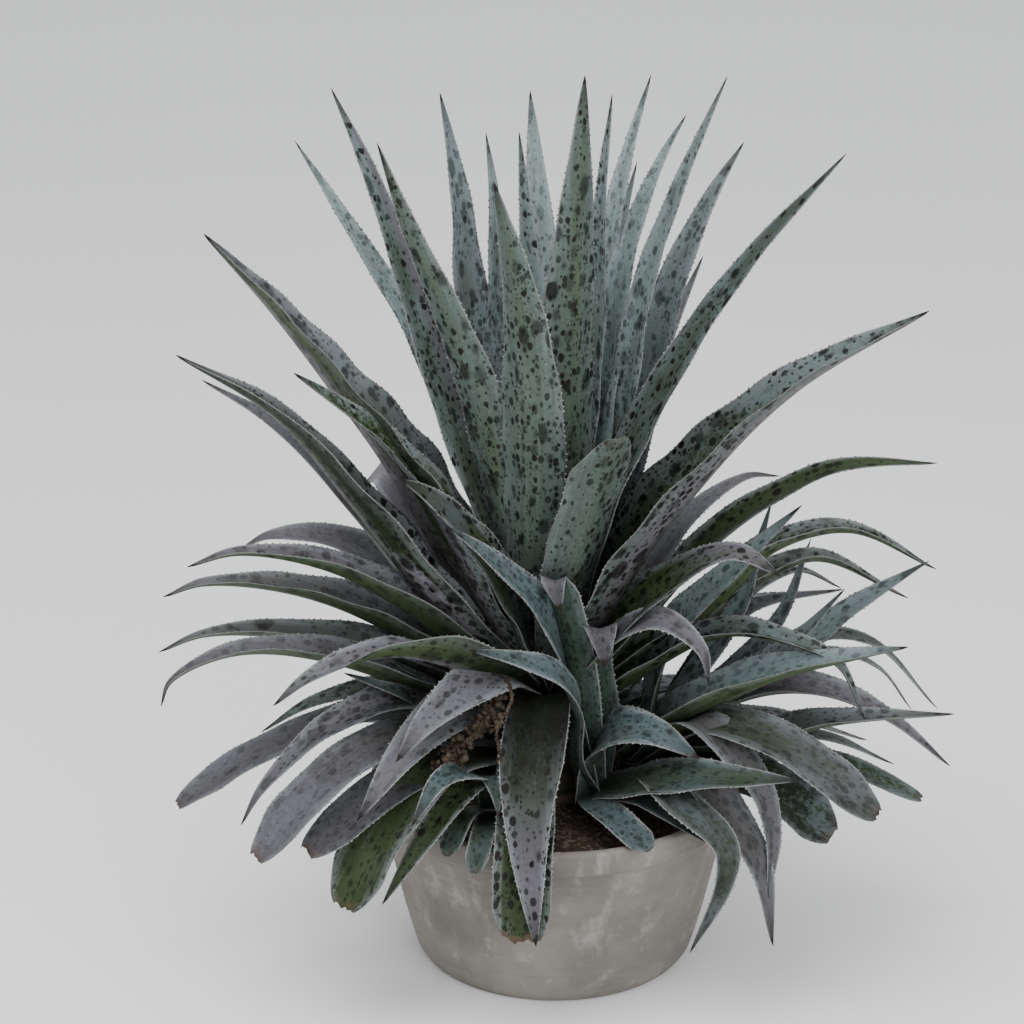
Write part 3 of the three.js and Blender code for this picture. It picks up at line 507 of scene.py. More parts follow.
class MangaveLeafColours(bpy.types.PropertyGroup):
    """Colours of the leaves."""

    # The underside colours are the backs' own green, made darker as painted shade on the sides turned from
    # the light
    blue_face: colour_setting("Blue face", "Upper face of the young leaves", (0.134, 0.172, 0.174))
    blue_under: colour_setting("Blue underside", "Underside of the young leaves", (0.072, 0.096, 0.084))
    lavender_face: colour_setting("Lavender face", "Upper face of the old leaves", (0.096, 0.089, 0.102))
    lavender_under: colour_setting(
        "Lavender underside", "Underside of the old leaves", (0.038, 0.057, 0.023)
    )
    teal_face: colour_setting("Teal face", "Upper face of the offsets' leaves", (0.061, 0.087, 0.089))
    teal_under: colour_setting(
        "Teal underside", "Underside of the offsets' leaves", (0.030, 0.048, 0.040)
    )
    green_face: colour_setting("Green face", "Upper face of the green leaves", (0.028, 0.043, 0.017))
    green_under: colour_setting("Green underside", "Underside of the green leaves", (0.013, 0.022, 0.008))
    stripe: colour_setting("Middle stripe", "Olive green along the middle", (0.047, 0.069, 0.031))
    bloom: colour_setting("Bloom", "Pale wax on the margins and the face", (0.205, 0.230, 0.245))
    spot: colour_setting("Spot", "Dark green spots", (0.003, 0.005, 0.002))
    brown_spot: colour_setting("Brown spot", "Dark brown spots", (0.008, 0.006, 0.006))
    margin: colour_setting("Margin", "Thin pale line along the margins", (0.25, 0.265, 0.26))
    tip: colour_setting("Tip", "Hard point of a leaf", (0.012, 0.008, 0.007))
    dry: colour_setting("Dry", "Dried ends of old leaves", (0.085, 0.060, 0.040))


class MangavePotSettings(bpy.types.PropertyGroup):
    """Sizes and colours of the pot, the soil and the dried remains."""

    height: length_setting("Height", "Height of the pot", 0.190)
    foot_radius: length_setting("Foot radius", "Radius of the pot's foot", 0.140)
    rim_radius: length_setting("Rim radius", "Radius of the pot's rim", 0.190)
    wall: length_setting("Wall", "Thickness of the pot's wall", 0.010)
    floor: length_setting("Floor", "Thickness of the pot's floor", 0.014)
    band_height: length_setting("Band height", "Height of the rim band", 0.024)
    band_proud: length_setting("Band proud", "How far the rim band stands proud", 0.005)
    ring_depth: length_setting("Ring depth", "Depth of the throwing rings", 0.00035)
    ring_pitch: length_setting("Ring pitch", "Height of one throwing ring", 0.0085)
    drain_radius: length_setting("Drain radius", "Radius of a drain hole", 0.007)
    drain_ring_radius: length_setting("Drain ring", "Radius of the circle of drain holes", 0.070)
    drains: IntProperty(name="Drains", description="How many drain holes there are", default=5)
    grain_size: length_setting("Grain size", "Mean size of a soil grain", 0.0026)
    grain_density: FloatProperty(
        name="Grain density", description="Soil grains on one square metre", default=42000.0
    )
    clay: colour_setting("Clay", "Colour of the pot", (0.215, 0.197, 0.175))
    clay_dark: colour_setting("Dark clay", "Weathered patches of the pot", (0.145, 0.133, 0.118))
    lime: colour_setting("Lime", "Mineral bloom on the pot", (0.36, 0.345, 0.315))
    soil: colour_setting("Soil", "Colour of the soil", (0.045, 0.032, 0.023))
    soil_light: colour_setting("Light soil", "Colour of the lighter soil grains", (0.17, 0.13, 0.095))
    remains: colour_setting("Dried flowers", "Colour of the dried remains", (0.062, 0.046, 0.031))


class MangaveStageSettings(bpy.types.PropertyGroup):
    """Floor and light."""

    floor_size: length_setting("Floor size", "Width of the floor", 16.0)
    floor_colour: colour_setting("Floor colour", "Colour of the floor", (0.88, 0.88, 0.87))
    sky_strength: FloatProperty(name="Sky strength", description="Strength of the even light", default=1.0)
    key_power: power_setting("Key power", "Power of the main soft light", 84.0)
    fill_power: power_setting("Fill power", "Power of the fill light", 52.0)


def smooth(value):
    """Smooth step of a number or an array, from 0 to 1."""
    value = np.clip(value, 0.0, 1.0)
    return value * value * (3.0 - 2.0 * value)


def mix(low, high, share):
    """The value at that share of the way from low to high."""
    return low + (high - low) * share


def unit(vectors):
    """Vectors scaled to length 1."""
    return vectors / np.linalg.norm(vectors, axis=-1, keepdims=True)


def seeded_random(seed):
    """Returns a function that draws numbers in 0..1, the same ones on every run."""
    state = [seed]

    def draw():
        """The next number."""
        state[0] = (state[0] * 1664525 + 1013904223) % 4294967296
        return state[0] / 4294967296

    return draw


def seen(across, up, back):
    """The point that is seen at across and up, that far behind the plant's axis, in millimetres."""
    sight = VIEW_CENTRE + np.array([(across + SOIL_MIDDLE_ACROSS) * MM, 0.0, 0.0])
    sight = sight + VIEW_UP * (up + SOIL_MIDDLE_UP) * MM
    reach = (back * MM - EYE[1]) / (sight[1] - EYE[1])
    return EYE + (sight - EYE) * reach


class Spine:
    """A smooth centripetal curve through points, read by its share of the length."""

    def __init__(self, points):
        points = [np.array(point, dtype=float) for point in points]
        first = 2 * points[0] - points[1]
        last = 2 * points[-1] - points[-2]
        padded = [first, *points, last]
        pieces = len(points) - 1
        places = []
        for step in range(SPINE_STEPS + 1):
            where = step / SPINE_STEPS * pieces
            piece = min(int(where), pieces - 1)
            places.append(self.between(padded[piece : piece + 4], where - piece))
        self.places = np.array(places)
        gaps = np.linalg.norm(np.diff(self.places, axis=0), axis=1)
        self.lengths = np.concatenate([[0.0], np.cumsum(gaps)])
        self.length = self.lengths[-1]
        slopes = np.gradient(self.places, self.lengths, axis=0)
        self.slopes = unit(slopes)

    @staticmethod
    def between(points, share):
        """The point at that share of the way from the second to the third of four points."""
        before, start, end, after = points
        steps = [math.dist(a, b) ** 0.5 for a, b in ((before, start), (start, end), (end, after))]
        first, second, third = steps
        leave = (start - before) / first - (end - before) / (first + second) + (end - start) / second
        arrive = (end - start) / second - (after - start) / (second + third) + (after - end) / third
        leave = leave * second
        arrive = arrive * second
        square = -3 * start + 3 * end - 2 * leave - arrive
        cube = 2 * start - 2 * end + leave + arrive
        return start + leave * share + square * share**2 + cube * share**3

    def read(self, values, shares):
        """Values that are given along the spine, at shares of its length."""
        wanted = np.clip(shares, 0.0, 1.0) * self.length
        columns = [np.interp(wanted, self.lengths, values[:, k]) for k in range(values.shape[1])]
        return np.stack(columns, axis=-1)

    def at(self, shares):
        """Points at shares of the length."""
        return self.read(self.places, shares)


def spine_of(blade, centre, rise, sunk):
    """The spine of a leaf: from inside its stem, through its way, to the tip."""
    way = [point if isinstance(point, np.ndarray) else seen(*point) for point in blade["way"]]
    out = way[0] - centre
    out[2] = 0.0
    root = centre + unit(out) * sunk
    root[2] = SOIL_LEVEL + rise
    return Spine([root, *way])


def half_width(blade, share):
    """Half the blade's width at shares of its length."""
    base = mix(blade.get("base", BASE_WIDTH_SHARE), 1.0, smooth(share / FULL_WIDTH_AT))
    if blade["blunt"]:
        taper = np.clip((1.0 - share) / BLUNT_SHARE, 0.0, 1.0) ** BLUNT_POWER
    else:
        taper = np.clip((1.0 - share) / blade["taper"], 0.0, 1.0) ** TAPER_POWER
    return 0.5 * blade["wide"] * base * taper


def blade_frames(blade, spine):
    """Unit vectors across and normal to the blade, all the way along its spine."""
    along = spine.slopes
    out = spine.places[-1] - spine.places[0]
    out[2] = 0.0
    out = unit(out)
    side = np.array([out[1], -out[0], 0.0])
    across = unit(side - along * (along @ side)[:, None])
    shares = spine.lengths / spine.length
    sign = -1.0 if out[0] < 0 else 1.0
    turn = math.radians(blade["roll"]) * mix(ROLL_AT_BASE, 1.0, smooth(shares * 1.6))
    tip_turn = math.radians(blade.get("tip_roll", blade["roll"]))
    turn = sign * mix(turn, tip_turn, smooth((shares - TIP_ROLL_FROM) / (1.0 - TIP_ROLL_FROM)))[:, None]
    across = across * np.cos(turn) + np.cross(along, across) * np.sin(turn)
    return across, np.cross(across, along)


def ring_shares():
    """Where the points of a blade's section lie, from -1 at the left margin to 1 at the right.

    The section runs along the upper face from left to right and back along the lower face.
    """
    angles = np.linspace(-math.pi / 2, math.pi / 2, SIDE_POINTS)
    upper = np.sin(angles)
    ring = np.concatenate([upper, upper[-2:0:-1]])
    lower = np.zeros(len(ring))
    lower[SIDE_POINTS:] = 1.0
    return ring, lower


def ragged_end(ring, blade, spine, sizes, draw):
    """The share of its length at which each line of points along the blade ends."""
    if not blade["blunt"]:
        return np.ones(len(ring))
    phase = 20.0 * draw()
    bites = [0.5 + 0.5 * noise.noise(Vector((phase + 2.6 * u, phase, 0.0))) for u in ring]
    return 1.0 - blade.get("dry", 1.0) * sizes.ragged_depth * np.array(bites) / spine.length


def blade_mesh(blade, spine, sizes, draw):
    """The finished surface of one leaf, as points, their texture coordinates and point values."""
    ring, lower = ring_shares()
    ends = ragged_end(ring, blade, spine, sizes, draw)
    count = round(spine.length / sizes.station_length)
    count = int(np.clip(count, FEWEST_SECTIONS, MOST_SECTIONS))
    stations = np.linspace(0.0, 1.0, count)
    share = stations[:, None] * ends[None, :]
    distance = share * spine.length
    to_tip = (1.0 - stations[:, None]) * spine.length * np.ones_like(share)

    across, normal = blade_frames(blade, spine)
    place = spine.at(share)
    across = unit(spine.read(across, share))
    normal = unit(spine.read(normal, share))

    half = half_width(blade, share)
    spine_half = SPINE_HALF_WIDTH * np.clip(to_tip / sizes.spine_length, 0.1, 1.0)
    half = np.maximum(half, spine_half)
    thickness = mix(sizes.base_thickness, sizes.tip_thickness, smooth(share))
    thickness = np.minimum(thickness, np.maximum(1.3 * half, 2 * spine_half))
    spread = np.abs(ring)[None, :]
    depth = 0.5 * (thickness - sizes.edge_thickness) * (1.0 - spread**2.2)
    depth = np.maximum(depth, 0.0) + 0.5 * sizes.edge_thickness * (1.0 - spread**8)
    keel = KEEL_SHARE * smooth(share / KEEL_FROM)
    lift = half * blade.get("fold", FOLD) * mix(1.0, FOLD_LEFT_AT_TIP, share)
    lift = lift * (spread**CHANNEL_POWER - keel)

    phases = [math.tau * draw(), math.tau * draw()]
    phase = np.where(ring < 0, phases[0], phases[1])[None, :]
    stretch = mix(0.8, 1.25, draw())
    wave = np.sin(math.tau * distance / (sizes.wave_length * stretch) + phase)
    wave = wave * sizes.wave_height * (half / 0.025) * spread**2 * smooth(share * 3)
    height = lift + wave + np.where(lower > 0, -1.0, 1.0)[None, :] * depth
    points = place + across * (ring[None, :] * half)[..., None] + normal * height[..., None]

    values = {
        "under": np.ones_like(share) * lower[None, :],
        "edge": np.ones_like(share) * spread,
        "margin": half * (1.0 - spread),
        "tip": to_tip,
        "share": share,
    }
    values["under"][:, [0, SIDE_POINTS - 1]] = 0.5
    texture = np.stack([ring[None, :] * half + lower[None, :] * 0.3, distance], axis=-1)
    return points, texture, values


def blade_faces(count, ring_size):
    """The faces of a blade of that many sections, closed at its base and its tip."""
    here = np.arange(ring_size)
    after = np.roll(here, -1)
    rows = np.arange(count - 1)[:, None] * ring_size
    next_rows = rows + ring_size
    quads = np.stack([rows + here, rows + after, next_rows + after, next_rows + here], axis=-1)
    faces = quads.reshape(-1, 4).tolist()
    last = (count - 1) * ring_size
    for i in range(SIDE_POINTS - 1):
        cap = [i, i + 1, (ring_size - i - 1) % ring_size, (ring_size - i) % ring_size]
        corners = list(dict.fromkeys(cap))
        faces.append(corners[::-1])
        faces.append([last + corner for corner in corners])
    return faces


def turned_surface(profile, sides, x=0.0, y=0.0):
    """Vertices and faces of a turned solid whose profile starts and ends on the axis."""
    vertices = [(x, y, profile[0][1])]
    for radius, height in profile[1:-1]:
        for k in range(sides):
            turn = math.tau * k / sides
            vertices.append((x + radius * math.cos(turn), y + radius * math.sin(turn), height))
    vertices.append((x, y, profile[-1][1]))
    faces = []
    for k in range(sides):
        after = (k + 1) % sides
        faces.append([0, 1 + after, 1 + k])
        for ring in range(len(profile) - 3):
            low = 1 + ring * sides
            high = low + sides
            faces.append([low + k, low + after, high + after, high + k])
        low = 1 + (len(profile) - 3) * sides
        faces.append([low + k, low + after, len(vertices) - 1])
    return vertices, faces


def placed(name, data):
    """A new object in the scene."""
    thing = bpy.data.objects.new(name, data)
    bpy.context.scene.collection.objects.link(thing)
    return thing


def smooth_mesh(name, vertices, faces, material):
    """A smooth mesh in one material."""
    mesh = bpy.data.meshes.new(name)
    mesh.from_pydata(vertices, [], faces)
    mesh.materials.append(material)
    mesh.shade_smooth()
    return mesh


def stem_profile(radius, top_radius, low, high):
    """The profile of a short stem with a domed top."""
    dome = top_radius * 0.35
    profile = [(0.0, low), (radius, low), (radius, SOIL_LEVEL)]
    for step in range(1, 5):
        share = step / 4
        profile.append((mix(radius, top_radius, share), mix(SOIL_LEVEL, high - dome, share)))
    for step in range(1, 4):
        turn = 0.5 * math.pi * step / 4
        profile.append((top_radius * math.cos(turn), high - dome + dome * math.sin(turn)))
    profile.append((0.0, high))
    return profile


def blade_looks(blade, share):
    """A blade's lavender, moss, brightness with its painted light and shade, spots and dryness, at shares
    of its length.
    """
    turns_at = blade.get("violet_from", VIOLET_FROM)
    at_tip = blade.get("violet_tip", 0.0) * smooth((share - turns_at) / VIOLET_FADE)
    left_at_base = 1.0 - smooth((share - VIOLET_BASE_END) / VIOLET_BASE_FADE)
    at_base = blade.get("violet_base", 0.0) * left_at_base
    at_right = blade.get("violet_right", 0.0) * smooth(ring_shares()[0] / 0.25)[None, :]
    in_places = np.maximum(np.maximum(at_tip, at_base), at_right)
    tone = blade.get("tone", 1.0)
    # Near the stem the brightness follows the base factor: painted shade where it is below 1, painted light
    # that lifts a shaded base where it is above 1
    from_base = smooth((share - TONE_FROM) / blade.get("base_fade", TONE_FADE))
    return {
        "violet": np.maximum(blade.get("violet", 0.0), in_places),
        "violet_under": np.maximum(blade.get("violet_under", 0.0), at_base),
        "moss": blade.get("moss", 0.0) * (1.0 - in_places),
        "tone": mix(tone * blade.get("base_tone", 1.0), tone, from_base),
        "plain": blade.get("plain", 0.0),
        "dry": blade["blunt"] * blade.get("dry", 1.0),
    }


POINT_VALUES = (
    "under", "edge", "margin", "tip", "share", "chance",
    "violet", "violet_under", "moss", "tone", "plain", "dry",
)


class Foliage:
    """Gathers blades and stems into one mesh with the values that its finish reads."""

    def __init__(self):
        self.vertices = []
        self.faces = []
        self.corners = []
        self.values = {name: [] for name in POINT_VALUES}
        self.margins = []

    def add_blade(self, blade, spine, sizes, draw):
        """Adds one leaf, and keeps the lines of its two margins for the teeth."""
        points, texture, values = blade_mesh(blade, spine, sizes, draw)
        count, ring_size = points.shape[:2]
        first = len(self.vertices)
        faces = blade_faces(count, ring_size)
        texture = texture.reshape(-1, 2) + 0.7 * draw()
        self.vertices.extend(points.reshape(-1, 3).tolist())
        self.faces.extend([[first + corner for corner in face] for face in faces])
        self.corners.extend(texture[corner] for face in faces for corner in face)
        values.update(blade_looks(blade, values["share"]))
        values["chance"] = draw()
        for name in POINT_VALUES:
            at_points = np.broadcast_to(values[name], (count, ring_size))
            self.values[name].extend(at_points.reshape(-1).tolist())
        middle = points[:, SIDE_POINTS // 2]
        for column in (0, SIDE_POINTS - 1):
            line = points[:, column]
            self.margins.append((line, line - middle, values["tip"][:, column], blade["blunt"]))

    def add_stem(self, profile, sides, x, y):
        """Adds a turned stem."""
        vertices, faces = turned_surface(profile, sides, x, y)
        first = len(self.vertices)
        self.vertices.extend(vertices)
        self.faces.extend([[first + corner for corner in face] for face in faces])
        for face in faces:
            for corner in face:
                height = vertices[corner][2]
                turn = math.atan2(vertices[corner][1] - y, vertices[corner][0] - x)
                self.corners.append((0.02 * turn, height))
        constants = {"under": 0.6, "edge": 0.3, "margin": 0.02, "tip": 0.3, "moss": 0.5, "tone": 0.8}
        for name in POINT_VALUES:
            self.values[name].extend([constants.get(name, 0.0)] * len(vertices))

    def build(self, name, material):
        """The finished object."""
        mesh = smooth_mesh(name, self.vertices, self.faces, material)
        layer = mesh.uv_layers.new(name="Blade")
        layer.data.foreach_set("uv", np.array(self.corners, dtype=np.float32).ravel())
        for key in POINT_VALUES:
            attribute = mesh.attributes.new(key, "FLOAT", "POINT")
            attribute.data.foreach_set("value", np.array(self.values[key], dtype=np.float32))
        return placed(name, mesh)


class Wiring:
    """Adds nodes to a tree and links them as they are made."""

    def __init__(self, tree):
        self.tree = tree

    def feed(self, socket, value):
        """Sets a socket to a value, a colour or another node's output."""
        if isinstance(value, bpy.types.NodeSocket):
            self.tree.links.new(value, socket)
        elif socket.type == "RGBA" and len(value) == 3:
            socket.default_value = (*value, 1.0)
        else:
            socket.default_value = value

    def add(self, kind, inputs=None, **settings):
        """A node of that kind, with its settings and its inputs."""
        node = self.tree.nodes.new(kind)
        for key, value in settings.items():
            setattr(node, key, value)
        for key, value in (inputs or {}).items():
            self.feed(node.inputs[key], value)
        return node


class Nodes(Wiring):
    """The node tree of a material."""

    def __init__(self, name):
        self.material = bpy.data.materials.new(name)
        self.material.use_nodes = True
        super().__init__(self.material.node_tree)
        self.tree.nodes.clear()

    def maths(self, operation, *values, clamp=False):
        """The result of a sum, product or other operation."""
        node = self.add("ShaderNodeMath", operation=operation, use_clamp=clamp)
        for socket, value in zip(node.inputs, values):
            self.feed(socket, value)
        return node.outputs[0]

    def times(self, *values):
        """The product of all values."""
        result = values[0]
        for value in values[1:]:
            result = self.maths("MULTIPLY", result, value)
        return result

    def step(self, value, low, high):
        """A smooth step that is 0 at low and 1 at high."""
        settings = {"interpolation_type": "SMOOTHSTEP"}
        inputs = {"Value": value, "From Min": low, "From Max": high, "To Min": 0.0, "To Max": 1.0}
        return self.add("ShaderNodeMapRange", inputs, **settings).outputs["Result"]

    def blend(self, share, low, high):
        """A colour between low and high."""
        node = self.add("ShaderNodeMix", data_type="RGBA")
        self.feed(node.inputs[0], share)
        self.feed(node.inputs[6], low)
        self.feed(node.inputs[7], high)
        return node.outputs[2]

    def shade(self, colour, share):
        """The colour made lighter or darker by a factor round 1."""
        node = self.add("ShaderNodeHueSaturation", {"Color": colour, "Value": share})
        return node.outputs["Color"]

    def value(self, name):
        """A point value of the mesh."""
        return self.add("ShaderNodeAttribute", attribute_name=name).outputs["Fac"]

    def place(self):
        """The piece's own coordinates, in metres."""
        return self.add("ShaderNodeTexCoord").outputs["Object"]

    def cloud(self, vector, scale, detail=2.0, roughness=0.5):
        """Soft noise in 0..1."""
        inputs = {"Vector": vector, "Scale": scale, "Detail": detail, "Roughness": roughness}
        return self.add("ShaderNodeTexNoise", inputs).outputs[0]

    def stretched(self, vector, scale):
        """The vector with each axis scaled."""
        return self.add("ShaderNodeMapping", {"Vector": vector, "Scale": scale}).outputs[0]

    def bump(self, height, strength, distance):
        """A normal that is bent by a height."""
        inputs = {"Height": height, "Strength": strength, "Distance": distance}
        return self.add("ShaderNodeBump", inputs).outputs[0]

    def surface(self, inputs):
        """The shader that ends the tree."""
        shader = self.add("ShaderNodeBsdfPrincipled", inputs)
        self.add("ShaderNodeOutputMaterial", {"Surface": shader.outputs[0]})
        return self.material


class Growth(Wiring):
    """A geometry tree with named inputs, which grows small parts from a mesh."""

    def __init__(self, name, inputs):
        super().__init__(bpy.data.node_groups.new(name, "GeometryNodeTree"))
        self.name = name
        face = self.tree.interface
        face.new_socket("Source", in_out="INPUT", socket_type="NodeSocketGeometry")
        self.sockets = {}
        for key, kind in inputs.items():
            socket = face.new_socket(key, in_out="INPUT", socket_type=f"NodeSocket{kind}")
            self.sockets[key] = socket.identifier
        face.new_socket("Grown", in_out="OUTPUT", socket_type="NodeSocketGeometry")
        self.inputs = self.add("NodeGroupInput").outputs

    def read(self, name, data_type):
        """A named attribute of the points."""
        settings = {"data_type": data_type}
        return self.add("GeometryNodeInputNamedAttribute", {"Name": name}, **settings).outputs[0]

    def finish(self, instances, material):
        """Ends the tree with the instances made real, in their material."""
        real = self.add("GeometryNodeRealizeInstances", {0: instances})
        paint = self.add("GeometryNodeSetMaterial", {"Geometry": real.outputs[0], "Material": material})
        self.add("NodeGroupOutput", {0: paint.outputs[0]})

    def grow(self, mesh, values, material):
        """The plain mesh object that the tree grows from a mesh."""
        carrier = placed(f"{self.name}_carrier", mesh)
        modifier = carrier.modifiers.new(self.name, "NODES")
        modifier.node_group = self.tree
        for key, value in values.items():
            modifier[self.sockets[key]] = value
        graph = bpy.context.evaluated_depsgraph_get()
        grown = bpy.data.meshes.new_from_object(carrier.evaluated_get(graph))
        carrier.modifiers.clear()
        bpy.data.objects.remove(carrier)
        grown.name = self.name
        if not grown.materials:
            grown.materials.append(material)
        return placed(self.name, grown)


# Kinds of spots: cells to a metre across and along the blade, radii and softness in cells, then
# the share of cells with a spot and a spot's darkness, each as its least value and what can be
# added to it
SPOT_KINDS = {
    "fine": {
        "cells": (310.0, 200.0, 1.0), "radii": (0.1, 0.38), "softness": 0.12,
        "share": (0.04, 0.5), "dark": (0.4, 0.5),
    },
    "small": {
        "cells": (160.0, 102.0, 1.0), "radii": (0.12, 0.5), "softness": 0.1,
        "share": (0.4, 0.6), "dark": (0.68, 0.32),
    },
    "large": {
        "cells": (74.0, 40.0, 1.0), "radii": (0.14, 0.46), "softness": 0.13,
        "share": (0.16, 0.55), "dark": (0.5, 0.4),
    },
}


def spots(nodes, kind, vector, scale, crowd):
    """Oval spots of one kind: where they are, how dark, and a random value for each."""
    looks = SPOT_KINDS[kind]
    inputs = {"Vector": nodes.stretched(vector, looks["cells"]), "Scale": scale, "Randomness": 0.95}
    cells = nodes.add("ShaderNodeTexVoronoi", inputs, voronoi_dimensions="2D")
    chance = nodes.add("ShaderNodeSeparateColor", {"Color": cells.outputs["Color"]})
    spread = nodes.times(chance.outputs[0], chance.outputs[0])
    least, most = looks["radii"]
    radius = nodes.maths("MULTIPLY_ADD", spread, most - least, least)
    inside = nodes.maths("SUBTRACT", radius, cells.outputs["Distance"])
    place = nodes.step(inside, -looks["softness"], looks["softness"])
    least, more = looks["share"]
    there = nodes.maths("LESS_THAN", chance.outputs[1], nodes.maths("MULTIPLY_ADD", crowd, more, least))
    least, more = looks["dark"]
    dark = nodes.maths("MULTIPLY_ADD", chance.outputs[2], more, least)
    return nodes.times(place, there), dark, chance.outputs[2]


def blade_material(name, colours, face, under, stripe_share, spot_scale):
    """Waxy leaf skin: two faces, a middle stripe, oval spots, pale margins and a dark tip."""
    nodes = Nodes(name)
    layer = nodes.add("ShaderNodeUVMap", uv_map="Blade").outputs[0]
    chance = nodes.value("chance")
    shift = {"X": nodes.times(chance, 3.1), "Y": nodes.times(chance, 7.7)}
    offset = nodes.add("ShaderNodeCombineXYZ", shift).outputs[0]
    skin = nodes.add("ShaderNodeVectorMath", {0: layer, 1: offset}, operation="ADD").outputs[0]

    is_under = nodes.step(nodes.value("under"), 0.3, 0.7)
    edge = nodes.value("edge")
    margin = nodes.value("margin")
    to_tip = nodes.value("tip")
    share = nodes.value("share")
    violet = nodes.value("violet")
    moss = nodes.value("moss")

    patches = nodes.cloud(nodes.stretched(skin, (26.0, 9.0, 1.0)), 1.0, 3.0, 0.6)
    strands = nodes.cloud(nodes.stretched(skin, (200.0, 6.0, 1.0)), 1.0, 2.0, 0.6)
    streaks = nodes.cloud(nodes.stretched(skin, (760.0, 12.0, 1.0)), 1.0, 2.0, 0.6)
    mottle = nodes.cloud(nodes.stretched(skin, (320.0, 170.0, 1.0)), 1.0, 3.0, 0.65)
    grain = nodes.cloud(skin, 1600.0, 2.0, 0.6)

    uneven = nodes.maths("MULTIPLY_ADD", patches, 1.3, nodes.maths("MULTIPLY_ADD", strands, 0.7, -1.0))
    upper_violet = nodes.maths("ADD", violet, uneven, clamp=True)
    top = nodes.blend(upper_violet, face, colours.lavender_face)
    grown = nodes.maths("MULTIPLY_ADD", mottle, 0.5, nodes.times(patches, 0.5))
    grown = nodes.maths("MULTIPLY_ADD", nodes.maths("SUBTRACT", 0.5, share), 0.16, grown)
    top = nodes.blend(nodes.times(nodes.step(grown, 0.52, 0.66), 0.6), top, colours.green_face)
    top = nodes.blend(nodes.times(moss, nodes.step(grown, 0.36, 0.54)), top, colours.green_face)
    waxed = nodes.maths("SUBTRACT", nodes.value("violet_under"), 0.1)
    waxed = nodes.maths("MULTIPLY_ADD", strands, 0.7, waxed)
    lower_violet = nodes.step(nodes.maths("MULTIPLY_ADD", edge, -0.9, waxed), 0.45, 0.8)
    low = nodes.blend(lower_violet, under, nodes.shade(tuple(colours.lavender_face), 1.45))
    # The underside colours carry painted shade as well as the backs' own green
    skin_colour = nodes.blend(is_under, top, low)

    middle = nodes.step(nodes.maths("MULTIPLY_ADD", strands, 0.8, edge), 1.0, 0.45)
    middle = nodes.times(middle, nodes.step(patches, 0.36, 0.58))
    stripe = nodes.times(middle, nodes.maths("MULTIPLY_ADD", is_under, 0.25, stripe_share))
    skin_colour = nodes.blend(nodes.maths("MINIMUM", stripe, 0.9), skin_colour, colours.stripe)

    waxy = nodes.step(nodes.maths("MULTIPLY_ADD", strands, 0.5, edge), 0.8, 1.25)
    waxy = nodes.times(waxy, nodes.maths("MULTIPLY_ADD", is_under, -0.25, 0.5))
    skin_colour = nodes.blend(waxy, skin_colour, colours.bloom)
    tone = nodes.maths("MULTIPLY_ADD", strands, 0.5, 0.05)
    tone = nodes.maths("MULTIPLY_ADD", streaks, 0.4, tone)
    tone = nodes.maths("MULTIPLY_ADD", mottle, 1.0, tone)
    tone = nodes.maths("MULTIPLY_ADD", grain, 0.55, tone)
    tone = nodes.maths("MULTIPLY_ADD", chance, 0.2, nodes.maths("SUBTRACT", tone, 0.375))
    # The point value tone scales the brightness: partly each leaf's own, partly painted light and shade
    skin_colour = nodes.shade(skin_colour, nodes.times(tone, nodes.value("tone")))

    wobble = nodes.add("ShaderNodeTexNoise", {"Vector": skin, "Scale": 300.0, "Detail": 2.0})
    wobbled = {0: wobble.outputs["Color"], 1: (0.0014, 0.0020, 0.0), 2: skin}
    flecked = nodes.add("ShaderNodeVectorMath", wobbled, operation="MULTIPLY_ADD").outputs[0]
    crowd = nodes.cloud(nodes.stretched(skin, (17.0, 8.0, 1.0)), 1.0, 2.0)
    crowd = nodes.step(nodes.maths("MULTIPLY_ADD", share, -0.22, crowd), 0.14, 0.5)
    spotted = nodes.maths("MULTIPLY_ADD", nodes.value("plain"), -0.85, 1.0)
    large, dark, chance_of_large = spots(nodes, "large", flecked, spot_scale, crowd)
    blotch_colour = nodes.blend(chance_of_large, colours.brown_spot, colours.spot)
    skin_colour = nodes.blend(nodes.times(large, spotted, dark), skin_colour, blotch_colour)
    fine, dark, _ = spots(nodes, "fine", flecked, spot_scale, crowd)
    skin_colour = nodes.blend(nodes.times(fine, spotted, dark), skin_colour, colours.spot)
    small, dark, chance_of_small = spots(nodes, "small", flecked, spot_scale, crowd)
    spot_colour = nodes.blend(chance_of_small, colours.spot, colours.brown_spot)
    skin_colour = nodes.blend(nodes.times(small, spotted, dark), skin_colour, spot_colour)

    # Painted shade: each blade darkens towards the underside green near the stem, where the crowded leaves
    # shade one another
    painted_base_shade = nodes.step(share, 0.4, 0.02)
    skin_colour = nodes.blend(nodes.times(painted_base_shade, 0.4), skin_colour, colours.green_under)

    ripple = nodes.cloud(skin, 420.0, 2.0)
    line_width = nodes.maths("MULTIPLY_ADD", ripple, 0.0014, 0.0003)
    line = nodes.step(nodes.maths("SUBTRACT", margin, line_width), 0.0004, -0.0003)
    line_colour = nodes.blend(nodes.step(ripple, 0.5, 0.66), colours.margin, colours.dry)
    not_tip = nodes.step(to_tip, 0.006, 0.02)
    skin_colour = nodes.blend(nodes.times(line, 0.85, not_tip), skin_colour, line_colour)

